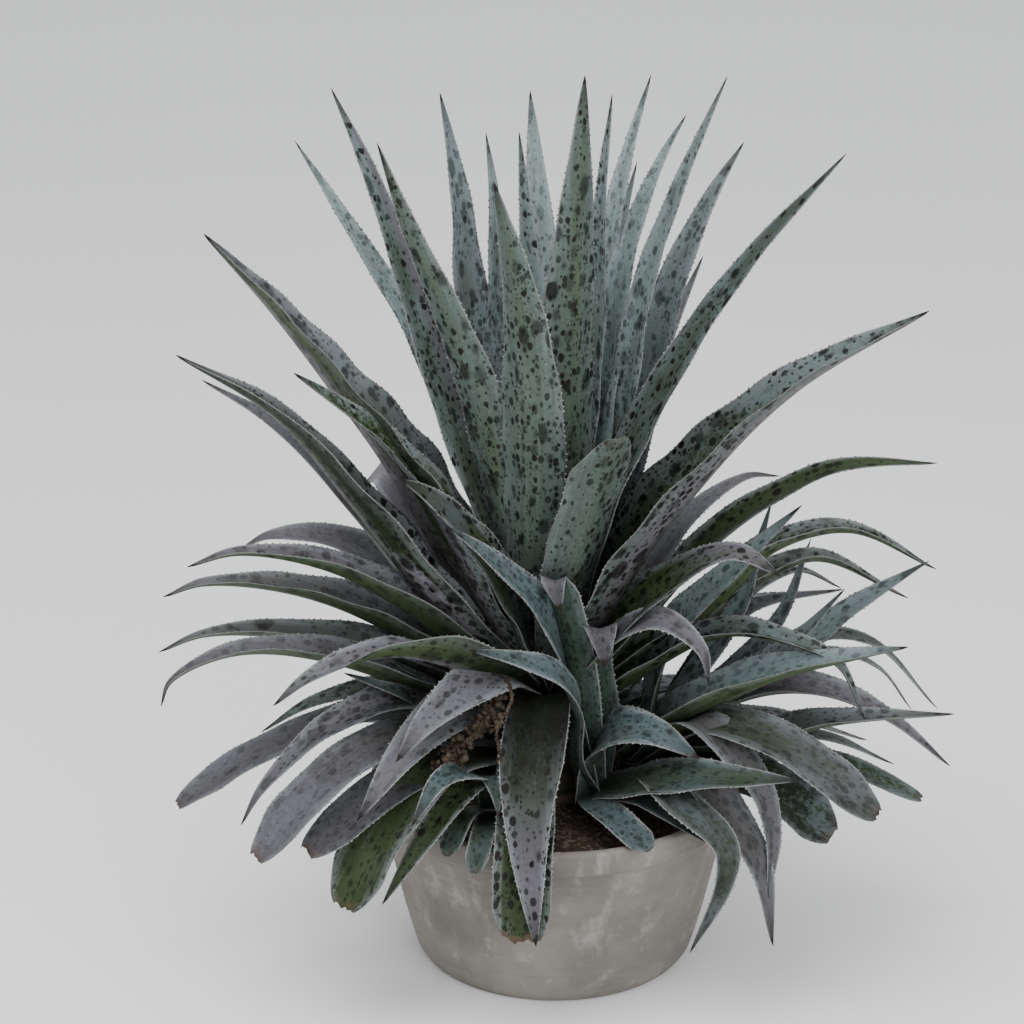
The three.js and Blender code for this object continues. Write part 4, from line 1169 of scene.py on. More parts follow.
    dried = nodes.value("dry")
    pointed = nodes.maths("LESS_THAN", dried, 0.001)
    purple = nodes.times(nodes.step(to_tip, 0.05, 0.008), pointed)
    skin_colour = nodes.blend(nodes.times(purple, 0.55), skin_colour, colours.brown_spot)
    point = nodes.times(nodes.step(to_tip, 0.0105, 0.0065), pointed)
    skin_colour = nodes.blend(point, skin_colour, colours.tip)
    dry_edge = nodes.maths("MULTIPLY_ADD", nodes.cloud(skin, 130.0, 3.0), 0.03, -0.009)
    dry = nodes.times(nodes.step(nodes.maths("SUBTRACT", to_tip, dry_edge), 0.004, -0.002), dried)
    skin_colour = nodes.blend(nodes.times(dry, 0.9), skin_colour, colours.dry)

    height = nodes.maths("MULTIPLY_ADD", streaks, 0.6, nodes.times(mottle, 0.7))
    height = nodes.maths("MULTIPLY_ADD", small, -0.25, height)
    roughness = nodes.maths("MULTIPLY_ADD", grain, 0.16, 0.42)
    roughness = nodes.maths("MULTIPLY_ADD", dry, 0.3, roughness)
    return nodes.surface({
        "Base Color": skin_colour,
        "Roughness": roughness,
        "Normal": nodes.bump(height, 0.5, 0.0005),
        "Sheen Weight": 0.015,
        "Sheen Roughness": 0.5,
        "Specular IOR Level": 0.13,
    })


def clay_material(settings):
    """Weathered unglazed clay with damp patches and mineral bloom."""
    nodes = Nodes("weathered_clay")
    place = nodes.place()
    broad = nodes.cloud(place, 9.0, 4.0, 0.6)
    bands = nodes.cloud(nodes.stretched(place, (4.0, 4.0, 130.0)), 1.0, 3.0, 0.6)
    speck = nodes.cloud(place, 700.0, 2.0, 0.6)
    bloom = nodes.cloud(nodes.stretched(place, (1.0, 1.0, 0.6)), 34.0, 5.0, 0.65)
    colour = nodes.blend(nodes.step(broad, 0.35, 0.65), settings.clay, settings.clay_dark)
    colour = nodes.blend(nodes.times(nodes.step(bloom, 0.52, 0.72), 0.5), colour, settings.lime)
    tone = nodes.maths("MULTIPLY_ADD", bands, 0.26, nodes.maths("MULTIPLY_ADD", speck, 0.3, 0.72))
    colour = nodes.shade(colour, tone)
    pits = nodes.step(nodes.cloud(place, 420.0, 2.0, 0.7), 0.3, 0.42)
    height = nodes.maths("MULTIPLY_ADD", bands, 0.5, nodes.maths("MULTIPLY_ADD", pits, 0.5, speck))
    return nodes.surface({
        "Base Color": colour,
        "Roughness": nodes.maths("MULTIPLY_ADD", speck, 0.2, 0.72),
        "Normal": nodes.bump(height, 0.45, 0.0006),
        "Specular IOR Level": 0.3,
    })


def soil_material(settings):
    """Dark potting soil, with grains of several browns."""
    nodes = Nodes("potting_soil")
    place = nodes.place()
    broad = nodes.cloud(place, 30.0, 4.0, 0.6)
    cells = nodes.add("ShaderNodeTexVoronoi", {"Vector": place, "Scale": 340.0})
    chance = nodes.add("ShaderNodeSeparateColor", {"Color": cells.outputs["Color"]}).outputs[0]
    fine = nodes.cloud(place, 1100.0, 3.0, 0.7)
    light = nodes.times(nodes.step(chance, 0.55, 0.98), 0.75)
    colour = nodes.blend(light, settings.soil, settings.soil_light)
    tone = nodes.maths("MULTIPLY_ADD", broad, 0.7, nodes.maths("MULTIPLY_ADD", fine, 0.6, 0.35))
    return nodes.surface({
        "Base Color": nodes.shade(colour, tone),
        "Roughness": nodes.maths("MULTIPLY_ADD", fine, 0.15, 0.82),
        "Normal": nodes.bump(nodes.maths("ADD", fine, cells.outputs["Distance"]), 0.7, 0.0008),
        "Specular IOR Level": 0.25,
    })


def stem_material(colours):
    """Fleshy stem with ring-shaped leaf scars."""
    nodes = Nodes("scarred_stem")
    place = nodes.place()
    rings = nodes.cloud(nodes.stretched(place, (12.0, 12.0, 170.0)), 1.0, 3.0, 0.6)
    fine = nodes.cloud(place, 600.0, 2.0)
    colour = nodes.blend(nodes.step(rings, 0.35, 0.65), colours.dry, colours.green_face)
    return nodes.surface({
        "Base Color": nodes.shade(colour, nodes.maths("MULTIPLY_ADD", fine, 0.5, 0.6)),
        "Roughness": nodes.maths("MULTIPLY_ADD", fine, 0.2, 0.65),
        "Normal": nodes.bump(rings, 0.6, 0.0015),
    })


def dried_material(settings):
    """Brown, brittle flower remains."""
    nodes = Nodes("dried_flowers")
    place = nodes.place()
    broad = nodes.cloud(place, 120.0, 3.0)
    fine = nodes.cloud(place, 900.0, 3.0, 0.7)
    colour = nodes.blend(nodes.step(broad, 0.35, 0.7), settings.remains, (0.022, 0.016, 0.012, 1.0))
    return nodes.surface({
        "Base Color": nodes.shade(colour, nodes.maths("MULTIPLY_ADD", fine, 0.9, 0.55)),
        "Roughness": nodes.maths("MULTIPLY_ADD", fine, 0.15, 0.78),
        "Normal": nodes.bump(fine, 0.8, 0.0009),
        "Specular IOR Level": 0.2,
    })


def tooth_material(colours):
    """Horny teeth, pale with brown points."""
    nodes = Nodes("margin_teeth")
    place = nodes.place()
    broad = nodes.cloud(place, 60.0, 2.0)
    fine = nodes.cloud(place, 700.0, 2.0)
    colour = nodes.blend(nodes.step(broad, 0.35, 0.7), colours.margin, colours.dry)
    return nodes.surface({
        "Base Color": nodes.shade(colour, nodes.maths("MULTIPLY_ADD", fine, 0.5, 0.7)),
        "Roughness": nodes.maths("MULTIPLY_ADD", fine, 0.2, 0.45),
    })


def floor_material(settings):
    """Plain pale matt floor with the faintest mottling."""
    nodes = Nodes("pale_floor")
    place = nodes.place()
    broad = nodes.cloud(place, 1.2, 2.0)
    colour = nodes.shade(tuple(settings.floor_colour), nodes.maths("MULTIPLY_ADD", broad, 0.03, 0.985))
    return nodes.surface({
        "Base Color": colour,
        "Roughness": nodes.maths("MULTIPLY_ADD", broad, 0.1, 0.75),
        "Specular IOR Level": 0.2,
    })


def blade_finish(slot):
    """The material of a blade slot, made when it is first asked for."""
    name = f"{slot}_skin"
    found = bpy.data.materials.get(name)
    if found:
        return found
    colours = bpy.context.scene.mangave_colours
    kind = slot.removeprefix("blade_")
    face = getattr(colours, "blue_face" if kind == "lavender" else f"{kind}_face")
    under = getattr(colours, f"{kind}_under")
    stripe_share = {"blue": 0.3, "lavender": 0.05, "teal": 0.1, "green": 0.45}[kind]
    spot_scale = {"blue": 1.0, "lavender": 0.82, "teal": 1.1, "green": 0.9}[kind]
    return blade_material(name, colours, face, under, stripe_share, spot_scale)


# Margins of the leaves made so far, which the teeth follow
MARGIN_LINES = []


def finish_piece(piece, nodes, slot):
    """Lets a piece stand for its CAD nodes and ride on the plant; slot is not used."""
    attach(piece, BODY)
    if nodes:
        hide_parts(*nodes)


def place_foliage(foliage, node):
    """Builds the foliage that stands for one CAD node."""
    slot = BLADE_SLOTS.get(node, "blade_lavender")
    piece = foliage.build(f"{node}_skin", blade_finish(slot))
    finish_piece(piece, [node], slot)
    MARGIN_LINES.extend(foliage.margins)


def ring_of_leaves(offset, draw):
    """Leaves of the offset at the back: a small rosette by rule."""
    leaves = []
    start = np.array([offset["x"], offset["y"], SOIL_LEVEL + offset["rise"] * 0.7])
    for i in range(BACK_PUP_LEAVES):
        turn = i * TURN_TO_NEXT_LEAF
        share = i / (BACK_PUP_LEAVES - 1)
        slope = math.radians(mix(66, 22, share) + 8 * (draw() - 0.5))
        reach = BACK_PUP_LEAF_LENGTH * mix(0.75, 1.0, share)
        out = np.array([math.cos(turn), math.sin(turn), 0.0])
        middle = start + out * 0.5 * reach * math.cos(slope) + UP * 0.5 * reach * math.sin(slope)
        end = start + out * reach * math.cos(slope * 0.75) + UP * reach * math.sin(slope * 0.75)
        leaves.append(leaf(BACK_PUP_LEAF_WIDTH / MM, [middle, end]))
    return leaves


def back_leaf(tier, i, draw):
    """One leaf of the far side, arching out from the stem and down towards its tip."""
    turn = math.radians(mix(tier["from"], tier["to"], i / (tier["count"] - 1)) + 6 * (draw() - 0.5))
    length = tier["length"] * mix(0.92, 1.06, draw())
    out = np.array([math.cos(turn), math.sin(turn), 0.0])
    place = np.array([0.0, 0.0, SOIL_LEVEL + tier["rise"]])
    way = []
    for step in range(1, 4):
        slope = math.radians(tier["slope"] + 12 - tier["droop"] * step / 2)
        place = place + (out * math.cos(slope) + UP * math.sin(slope)) * length / 3
        way.append(place)
    return leaf(BACK_LEAF_WIDTH * mix(0.85, 1.08, draw()) / MM, way)


def root_rise(blade):
    """How high a leaf is rooted on the main stem: the steeper it rises, the higher."""
    first = seen(*blade["way"][0])
    slope = math.atan2(first[2] - SOIL_LEVEL - 0.06, math.hypot(first[0], first[1]))
    return mix(LOWEST_ROOT_RISE, HIGHEST_ROOT_RISE, float(smooth((slope + 0.35) / 1.35)))


class MANGAVE_OT_stage(bpy.types.Operator):
    """Makes the floor, the soft light and the camera."""

    bl_idname = "mangave.stage"
    bl_label = "Stage"

    def execute(self, context):
        """Makes the stage."""
        settings = context.scene.mangave_stage
        half = settings.floor_size / 2
        mesh = bpy.data.meshes.new("floor")
        corners = [(-half, -half, 0.0), (half, -half, 0.0), (half, half, 0.0), (-half, half, 0.0)]
        mesh.from_pydata(corners, [], [[0, 1, 2, 3]])
        mesh.materials.append(floor_material(settings))
        placed("floor", mesh)

        world = bpy.data.worlds.new("soft_sky")
        world.use_nodes = True
        background = world.node_tree.nodes["Background"]
        background.inputs["Color"].default_value = (0.95, 0.975, 1.0, 1.0)
        background.inputs["Strength"].default_value = settings.sky_strength
        context.scene.world = world

        self.add_light("key_light", KEY_LIGHT_PLACE, settings.key_power)
        self.add_light("fill_light", FILL_LIGHT_PLACE, settings.fill_power)

        camera = bpy.data.cameras.new("camera")
        camera.sensor_width = SENSOR_WIDTH
        camera.lens = SENSOR_WIDTH * VIEW_DISTANCE / (PICTURE_PIXELS * MM)
        viewer = placed("camera", camera)
        viewer.location = Vector(EYE)
        viewer.rotation_euler = Vector(EYE - VIEW_CENTRE).to_track_quat("Z", "Y").to_euler()
        context.scene.camera = viewer
        return {"FINISHED"}

    def add_light(self, name, place, power):
        """Adds a square soft light that faces the plant."""
        light = bpy.data.lights.new(name, "AREA")
        light.size = LIGHT_SIZE
        light.energy = power
        lamp = placed(name, light)
        lamp.location = place
        aim = Vector(place) - Vector(LIGHT_AIM)
        lamp.rotation_euler = aim.to_track_quat("Z", "Y").to_euler()


class MANGAVE_OT_pot(bpy.types.Operator):
    """Turns the clay pot with its throwing rings and drain holes."""

    bl_idname = "mangave.pot"
    bl_label = "Pot"

    def execute(self, context):
        """Makes the pot."""
        pot = context.scene.mangave_pot
        vertices, faces = turned_surface(self.profile(pot), POT_SIDES)
        mesh = bpy.data.meshes.new("pot_clay")
        mesh.from_pydata(vertices, [], faces)
        body = placed("pot_body", mesh)
        drains = self.drain_cutters(pot)
        cut = body.modifiers.new("drains", "BOOLEAN")
        cut.object = drains
        cut.solver = "EXACT"
        graph = context.evaluated_depsgraph_get()
        finished = bpy.data.meshes.new_from_object(body.evaluated_get(graph))
        finished.name = "pot_clay"
        finished.materials.clear()
        finished.materials.append(clay_material(pot))
        finished.shade_smooth()
        bpy.data.objects.remove(body)
        bpy.data.objects.remove(drains)
        finish_piece(placed("pot_clay", finished), ["pot"], "pot")
        return {"FINISHED"}

    def profile(self, pot):
        """Radius and height round the wall, from the foot's middle over the rim to the inside."""
        under_band = pot.height - pot.band_height
        under_rim = pot.rim_radius - pot.band_proud
        inner_foot = pot.foot_radius - pot.wall
        inner_rim = pot.rim_radius - pot.wall
        profile = [(0.0, 0.0), (pot.foot_radius * 0.5, 0.0), (pot.foot_radius - 0.005, 0.0)]
        profile.append((pot.foot_radius - 0.002, 0.0007))
        profile.append((pot.foot_radius - 0.0004, 0.0025))
        for step in range(1, POT_WALL_SECTIONS + 1):
            height = mix(0.004, under_band - 0.005, step / POT_WALL_SECTIONS)
            radius = mix(pot.foot_radius, under_rim, (height / pot.height) ** 0.8)
            ring = math.sin(math.tau * height / pot.ring_pitch)
            profile.append((radius + pot.ring_depth * ring, height))
        for turn in range(0, 91, 15):
            angle = math.radians(turn)
            radius = pot.rim_radius - 0.003 * (1 - math.sin(angle))
            profile.append((radius, under_band - 0.002 + 0.003 * (1 - math.cos(angle))))
        profile.append((pot.rim_radius + 0.0002, pot.height - 0.012))
        for turn in range(0, 181, 15):
            angle = math.radians(turn)
            middle = 0.5 * (pot.rim_radius + inner_rim)
            wide = 0.5 * (pot.rim_radius - inner_rim)
            profile.append((middle + wide * math.cos(angle), pot.height - 0.004 + 0.004 * math.sin(angle)))
        for height in (0.170, 0.150, 0.130, 0.110, 0.090, 0.070, 0.050, 0.034, 0.022):
            bend = (height - pot.floor) / (pot.height - pot.floor)
            profile.append((mix(inner_foot, inner_rim, bend**0.85), height))
        profile.append((inner_foot - 0.003, 0.0165))
        profile.append((inner_foot - 0.009, pot.floor))
        profile.append((inner_foot * 0.5, pot.floor))
        profile.append((0.0, pot.floor))
        return profile

    def drain_cutters(self, pot):
        """Round cutters for the drain holes."""
        shape = bmesh.new()
        for i in range(pot.drains):
            turn = math.tau * i / pot.drains
            spot = Vector((math.cos(turn), math.sin(turn), 0.0)) * pot.drain_ring_radius
            bmesh.ops.create_cone(
                shape, cap_ends=True, segments=DRAIN_SIDES, radius1=pot.drain_radius,
                radius2=pot.drain_radius, depth=0.06, matrix=Matrix.Translation(spot),
            )
        mesh = bpy.data.meshes.new("drain_cutters")
        shape.to_mesh(mesh)
        shape.free()
        return placed("drain_cutters", mesh)


class MANGAVE_OT_soil(bpy.types.Operator):
    """Fills the pot with soil and scatters loose grains on it."""

    bl_idname = "mangave.soil"
    bl_label = "Soil"

    def execute(self, context):
        """Makes the soil."""
        pot = context.scene.mangave_pot
        material = soil_material(pot)
        profile = [(0.0, 0.0145), (0.118, 0.0145), (0.1275, 0.0225), (0.1535, 0.090), (0.1735, 0.160)]
        for ring in range(SOIL_RINGS):
            share = 1.0 - ring / SOIL_RINGS
            profile.append((SOIL_EDGE_RADIUS * share, SOIL_LEVEL - SOIL_EDGE_DROP * share**2))
        profile.append((0.0, SOIL_LEVEL))
        vertices, faces = turned_surface(profile, SOIL_SIDES)
        vertices = [self.lumpy(vertex) for vertex in vertices]
        bed = placed("soil_bed", smooth_mesh("soil_bed", vertices, faces, material))
        finish_piece(bed, ["soil"], "soil")
        grains = self.grains(pot, bed, material)
        finish_piece(grains, [], "soil")
        return {"FINISHED"}

    def lumpy(self, vertex):
        """A point of the soil's top moved up or down by its lumps."""
        x, y, z = vertex
        if z < SOIL_LUMPS_FROM:
            return vertex
        wave = 0.0025 * math.sin(60.0 * x + 1.0) * math.cos(50.0 * y)
        lumps = 0.0022 * noise.noise(Vector((x * 55, y * 55, 0.3)))
        crumbs = 0.0012 * noise.noise(Vector((x * 190, y * 190, 1.7)))
        return (x, y, z + wave + lumps + crumbs)

    def grains(self, pot, bed, material):
        """Loose grains on the soil's top, from a node tree."""
        growth = Growth("soil_grains", {"Density": "Float", "Grain size": "Float", "Seed": "Int"})
        seed = growth.inputs["Seed"]
        normal = growth.add("GeometryNodeInputNormal")
        upright = growth.add("ShaderNodeSeparateXYZ", {0: normal.outputs[0]})
        settings = {"data_type": "FLOAT", "operation": "GREATER_THAN"}
        facing = growth.add("FunctionNodeCompare", {0: upright.outputs["Z"], 1: 0.5}, **settings)
        scatter = growth.add("GeometryNodeDistributePointsOnFaces", {
            "Mesh": growth.inputs["Source"],
            "Selection": facing.outputs[0],
            "Density": growth.inputs["Density"],
            "Seed": seed,
        })
        stone = growth.add("GeometryNodeMeshIcoSphere", {"Subdivisions": 1, "Radius": 0.5})
        settings = {"data_type": "FLOAT_VECTOR"}
        range_of_sizes = {0: (0.35, 0.35, 0.3), 1: (1.7, 1.5, 1.1), "Seed": seed}
        sizes = growth.add("FunctionNodeRandomValue", range_of_sizes, **settings)
        grown = {0: sizes.outputs[0], "Scale": growth.inputs["Grain size"]}
        scale = growth.add("ShaderNodeVectorMath", grown, operation="SCALE")
        range_of_turns = {1: (math.tau, math.tau, math.tau), "Seed": seed}
        turns = growth.add("FunctionNodeRandomValue", range_of_turns, **settings)
        place = growth.add("GeometryNodeInstanceOnPoints", {
            "Points": scatter.outputs["Points"],
            "Instance": stone.outputs["Mesh"],
            "Rotation": turns.outputs[0],
            "Scale": scale.outputs[0],
        })
        growth.finish(place.outputs[0], material)
        values = {"Density": pot.grain_density, "Grain size": pot.grain_size, "Seed": GRAIN_SEED}
        return growth.grow(bed.data, values, material)


class MANGAVE_OT_stem(bpy.types.Operator):
    """Makes the short main stem."""

    bl_idname = "mangave.stem"
    bl_label = "Main stem"

    def execute(self, context):
        """Makes the stem."""
        low = SOIL_LEVEL - STEM_DEPTH_IN_SOIL
        profile = [(0.0, low)]
        for step in range(STEM_SECTIONS + 1):
            height = mix(low, STEM_TOP - 0.0115, step / STEM_SECTIONS)
            share = max(0.0, (height - SOIL_LEVEL) / STEM_RISE)
            scar = SCAR_DEPTH * math.sin(math.tau * height / SCAR_PITCH)
            profile.append((mix(STEM_RADIUS_AT_SOIL, STEM_RADIUS_AT_TOP, share) + scar, height))
        profile.append((STEM_RADIUS_AT_TOP * 0.8, STEM_TOP - 0.005))
        profile.append((STEM_RADIUS_AT_TOP * 0.5, STEM_TOP - 0.0015))
        profile.append((0.0, STEM_TOP))
        vertices, faces = turned_surface(profile, STEM_SIDES)
        material = stem_material(context.scene.mangave_colours)
        mesh = smooth_mesh("main_stem_skin", vertices, faces, material)
        finish_piece(placed("main_stem_skin", mesh), ["main_stem"], "stem")
        return {"FINISHED"}


class MANGAVE_OT_heart(bpy.types.Operator):
    """Makes the upright heart of young leaves."""

    bl_idname = "mangave.heart"
    bl_label = "Heart leaves"

    def execute(self, context):
        """Makes the heart."""
        sizes = context.scene.mangave_leaves
        draw = seeded_random(sizes.seed)
        foliage = Foliage()
        profile = stem_profile(HEART_RADIUS, HEART_RADIUS * 0.7, STEM_TOP - 0.030, SOIL_LEVEL + HEART_RISE)
        profile = [point for point in profile if point[1] >= STEM_TOP - 0.030]
        foliage.add_stem(profile, SMALL_STEM_SIDES, 0.0, 0.0)
        for blade in HEART_LEAVES:
            foliage.add_blade(blade, spine_of(blade, np.zeros(3), STEM_RISE + 0.008, 0.008), sizes, draw)
        place_foliage(foliage, "heart_leaves")
        return {"FINISHED"}


class MANGAVE_OT_offsets(bpy.types.Operator):
    """Makes the side rosettes."""

    bl_idname = "mangave.offsets"
    bl_label = "Side rosettes"

    def execute(self, context):
        """Makes each offset with its stem and leaves."""
        sizes = context.scene.mangave_leaves
        draw = seeded_random(sizes.seed + 1)
        low = SOIL_LEVEL - STEM_DEPTH_IN_SOIL * 0.6
        for name, offset in OFFSETS.items():
            leaves = offset["leaves"]
            if name == "back_pup":
                leaves = ring_of_leaves(offset, seeded_random(PLACE_SEED))
            radius = offset["radius"]
            foliage = Foliage()
            profile = stem_profile(radius, radius * 0.7, low, SOIL_LEVEL + offset["rise"])
            foliage.add_stem(profile, SMALL_STEM_SIDES, offset["x"], offset["y"])
            centre = np.array([offset["x"], offset["y"], 0.0])
            for i, blade in enumerate(leaves):
                rise = offset["rise"] * mix(0.86, 0.4, i / (len(leaves) - 1))
                clasping = {"plain": 0.4, **blade, "base": CLASPING_WIDTH_SHARE}
                foliage.add_blade(clasping, spine_of(clasping, centre, rise, radius * 0.2), sizes, draw)
            place_foliage(foliage, name)
        return {"FINISHED"}


class MANGAVE_OT_stem_leaves(bpy.types.Operator):
    """Makes the single leaves of the main rosette."""

    bl_idname = "mangave.stem_leaves"
    bl_label = "Single leaves"

    def execute(self, context):
        """Makes each single leaf."""
        sizes = context.scene.mangave_leaves
        draw = seeded_random(sizes.seed + 2)
        for name, blade in STEM_LEAVES.items():
            foliage = Foliage()
            shaded = {"violet": 0.0 if name in BLADE_SLOTS else 0.9, **blade}
            spine = spine_of(blade, np.zeros(3), root_rise(blade), STEM_RADIUS_AT_TOP * 0.5)
            foliage.add_blade(shaded, spine, sizes, draw)
            place_foliage(foliage, name)
        return {"FINISHED"}


class MANGAVE_OT_back_leaves(bpy.types.Operator):
    """Makes the three tiers of leaves on the far side."""

    bl_idname = "mangave.back_leaves"
    bl_label = "Far side leaves"

    def execute(self, context):
        """Makes each leaf of the far side."""
        sizes = context.scene.mangave_leaves
        draw = seeded_random(sizes.seed + 3)
        place_draw = seeded_random(PLACE_SEED)
        # The offset at the back takes the first draws
        ring_of_leaves(OFFSETS["back_pup"], place_draw)
        count = 0
        for tier in BACK_TIERS:
            for i in range(tier["count"]):
                blade = back_leaf(tier, i, place_draw)
                blade["violet"] = mix(0.9, 0.3, tier["slope"] / BACK_TIERS[-1]["slope"])
                spine = spine_of(blade, np.zeros(3), tier["rise"], STEM_RADIUS_AT_TOP * 0.5)
                count += 1
                foliage = Foliage()
                foliage.add_blade(blade, spine, sizes, draw)
                place_foliage(foliage, f"leaf_back_{count}")
        return {"FINISHED"}


class MANGAVE_OT_teeth(bpy.types.Operator):
    """Sets small horny teeth along the margins of every leaf."""

    bl_idname = "mangave.teeth"
    bl_label = "Margin teeth"

    def execute(self, context):
        """Makes the teeth from the margins of the leaves that are there."""
        if not MARGIN_LINES:
            raise RuntimeError("The leaves have to be made before their teeth")
        sizes = context.scene.mangave_leaves
        material = tooth_material(context.scene.mangave_colours)
        vertices = []
        edges = []
        outward = []
        scale = []
        for line, away, to_tip, blunt in MARGIN_LINES:
            first = len(vertices)
            vertices.extend(map(tuple, line))
            edges.extend((first + k, first + k + 1) for k in range(len(line) - 1))
            outward.extend(map(tuple, unit(away)))
            from_base = to_tip[0] - to_tip
            to_last = to_tip - TEETH_END_BEFORE_TIP
            reach = smooth(from_base / TEETH_GROW_OVER) * smooth(to_last / mix(*TEETH_FADE, blunt))
            scale.extend(reach * mix(*TEETH_SIZE, blunt))
        mesh = bpy.data.meshes.new("margin_lines")
        mesh.from_pydata(vertices, edges, [])
        direction = mesh.attributes.new("outward", "FLOAT_VECTOR", "POINT")
        direction.data.foreach_set("vector", np.array(outward, dtype=np.float32).ravel())
        reach = mesh.attributes.new("reach", "FLOAT", "POINT")
        reach.data.foreach_set("value", np.array(scale, dtype=np.float32))
        values = {
            "Spacing": sizes.tooth_spacing,
            "Length": sizes.tooth_length,
            "Radius": sizes.tooth_radius,
            "Seed": sizes.seed,
        }
        piece = self.growth(material).grow(mesh, values, material)
        finish_piece(piece, [], "blade_lavender")
        return {"FINISHED"}

    def growth(self, material):
        """The node tree that sets the teeth."""
        inputs = {"Spacing": "Float", "Length": "Float", "Radius": "Float", "Seed": "Int"}
        growth = Growth("margin_teeth", inputs)
        add = growth.add
        seed = growth.inputs["Seed"]
        radius = growth.inputs["Radius"]
        outward = growth.read("outward", "FLOAT_VECTOR")
        reach = growth.read("reach", "FLOAT")
        forward = growth.read("forward", "FLOAT_VECTOR")

        # Points along the margins, some of them missing, each moved a little
        curves = add("GeometryNodeMeshToCurve", {"Mesh": growth.inputs["Source"]})
        step = {"Curve": curves.outputs[0], "Length": growth.inputs["Spacing"]}
        spaced = add("GeometryNodeResampleCurve", step, mode="LENGTH")
        tangent = add("GeometryNodeInputTangent")
        direction = {"Geometry": spaced.outputs[0], "Name": "forward", "Value": tangent.outputs[0]}
        store = add("GeometryNodeStoreNamedAttribute", direction, data_type="FLOAT_VECTOR", domain="POINT")
        points = add("GeometryNodeCurveToPoints", {"Curve": store.outputs[0]}, mode="EVALUATED")
        chance = {"Probability": MISSING_TEETH, "Seed": seed}
        missing = add("FunctionNodeRandomValue", chance, data_type="BOOLEAN")
        chosen = {"Geometry": points.outputs["Points"], "Selection": missing.outputs["Value"]}
        kept = add("GeometryNodeDeleteGeometry", chosen, domain="POINT")
        either_way = {2: -TOOTH_SLIDE, 3: TOOTH_SLIDE, "Seed": seed}
        slide = add("FunctionNodeRandomValue", either_way, data_type="FLOAT")
        shift = add("ShaderNodeVectorMath", {0: forward, "Scale": slide.outputs[1]}, operation="SCALE")
        moved = add("GeometryNodeSetPosition", {"Geometry": kept.outputs[0], "Offset": shift.outputs[0]})

        # A flat cone that leans forward, turned outwards
        upright = add("FunctionNodeAlignRotationToVector", {"Vector": outward}, axis="Z")
        ahead = {"Rotation": upright.outputs[0], "Vector": forward}
        turned = add("FunctionNodeAlignRotationToVector", ahead, axis="X", pivot_axis="Z")
        tooth = add("GeometryNodeMeshCone", {
            "Vertices": TOOTH_SIDES, "Radius Top": 0.08, "Radius Bottom": 1.0, "Depth": 1.3,
        })
        lean = add("GeometryNodeTransform", {
            "Geometry": tooth.outputs["Mesh"],
            "Translation": (0.0, 0.0, -0.3),
            "Rotation": (0.0, TOOTH_LEAN, 0.0),
        })
        size = add("FunctionNodeRandomValue", {2: 0.6, 3: 1.15, "Seed": seed}, data_type="FLOAT")
        grown = add("ShaderNodeMath", {0: size.outputs[1], 1: reach}, operation="MULTIPLY")
        flat = add("ShaderNodeMath", {0: radius, 1: 0.4}, operation="MULTIPLY")
        sides = {"X": radius, "Y": flat.outputs[0], "Z": growth.inputs["Length"]}
        shape = add("ShaderNodeCombineXYZ", sides)
        whole = {0: shape.outputs[0], "Scale": grown.outputs[0]}
        scaled = add("ShaderNodeVectorMath", whole, operation="SCALE")
        place = add("GeometryNodeInstanceOnPoints", {
            "Points": moved.outputs[0],
            "Instance": lean.outputs[0],
            "Rotation": turned.outputs[0],
            "Scale": scaled.outputs[0],
        })
        growth.finish(place.outputs[0], material)
        return growth


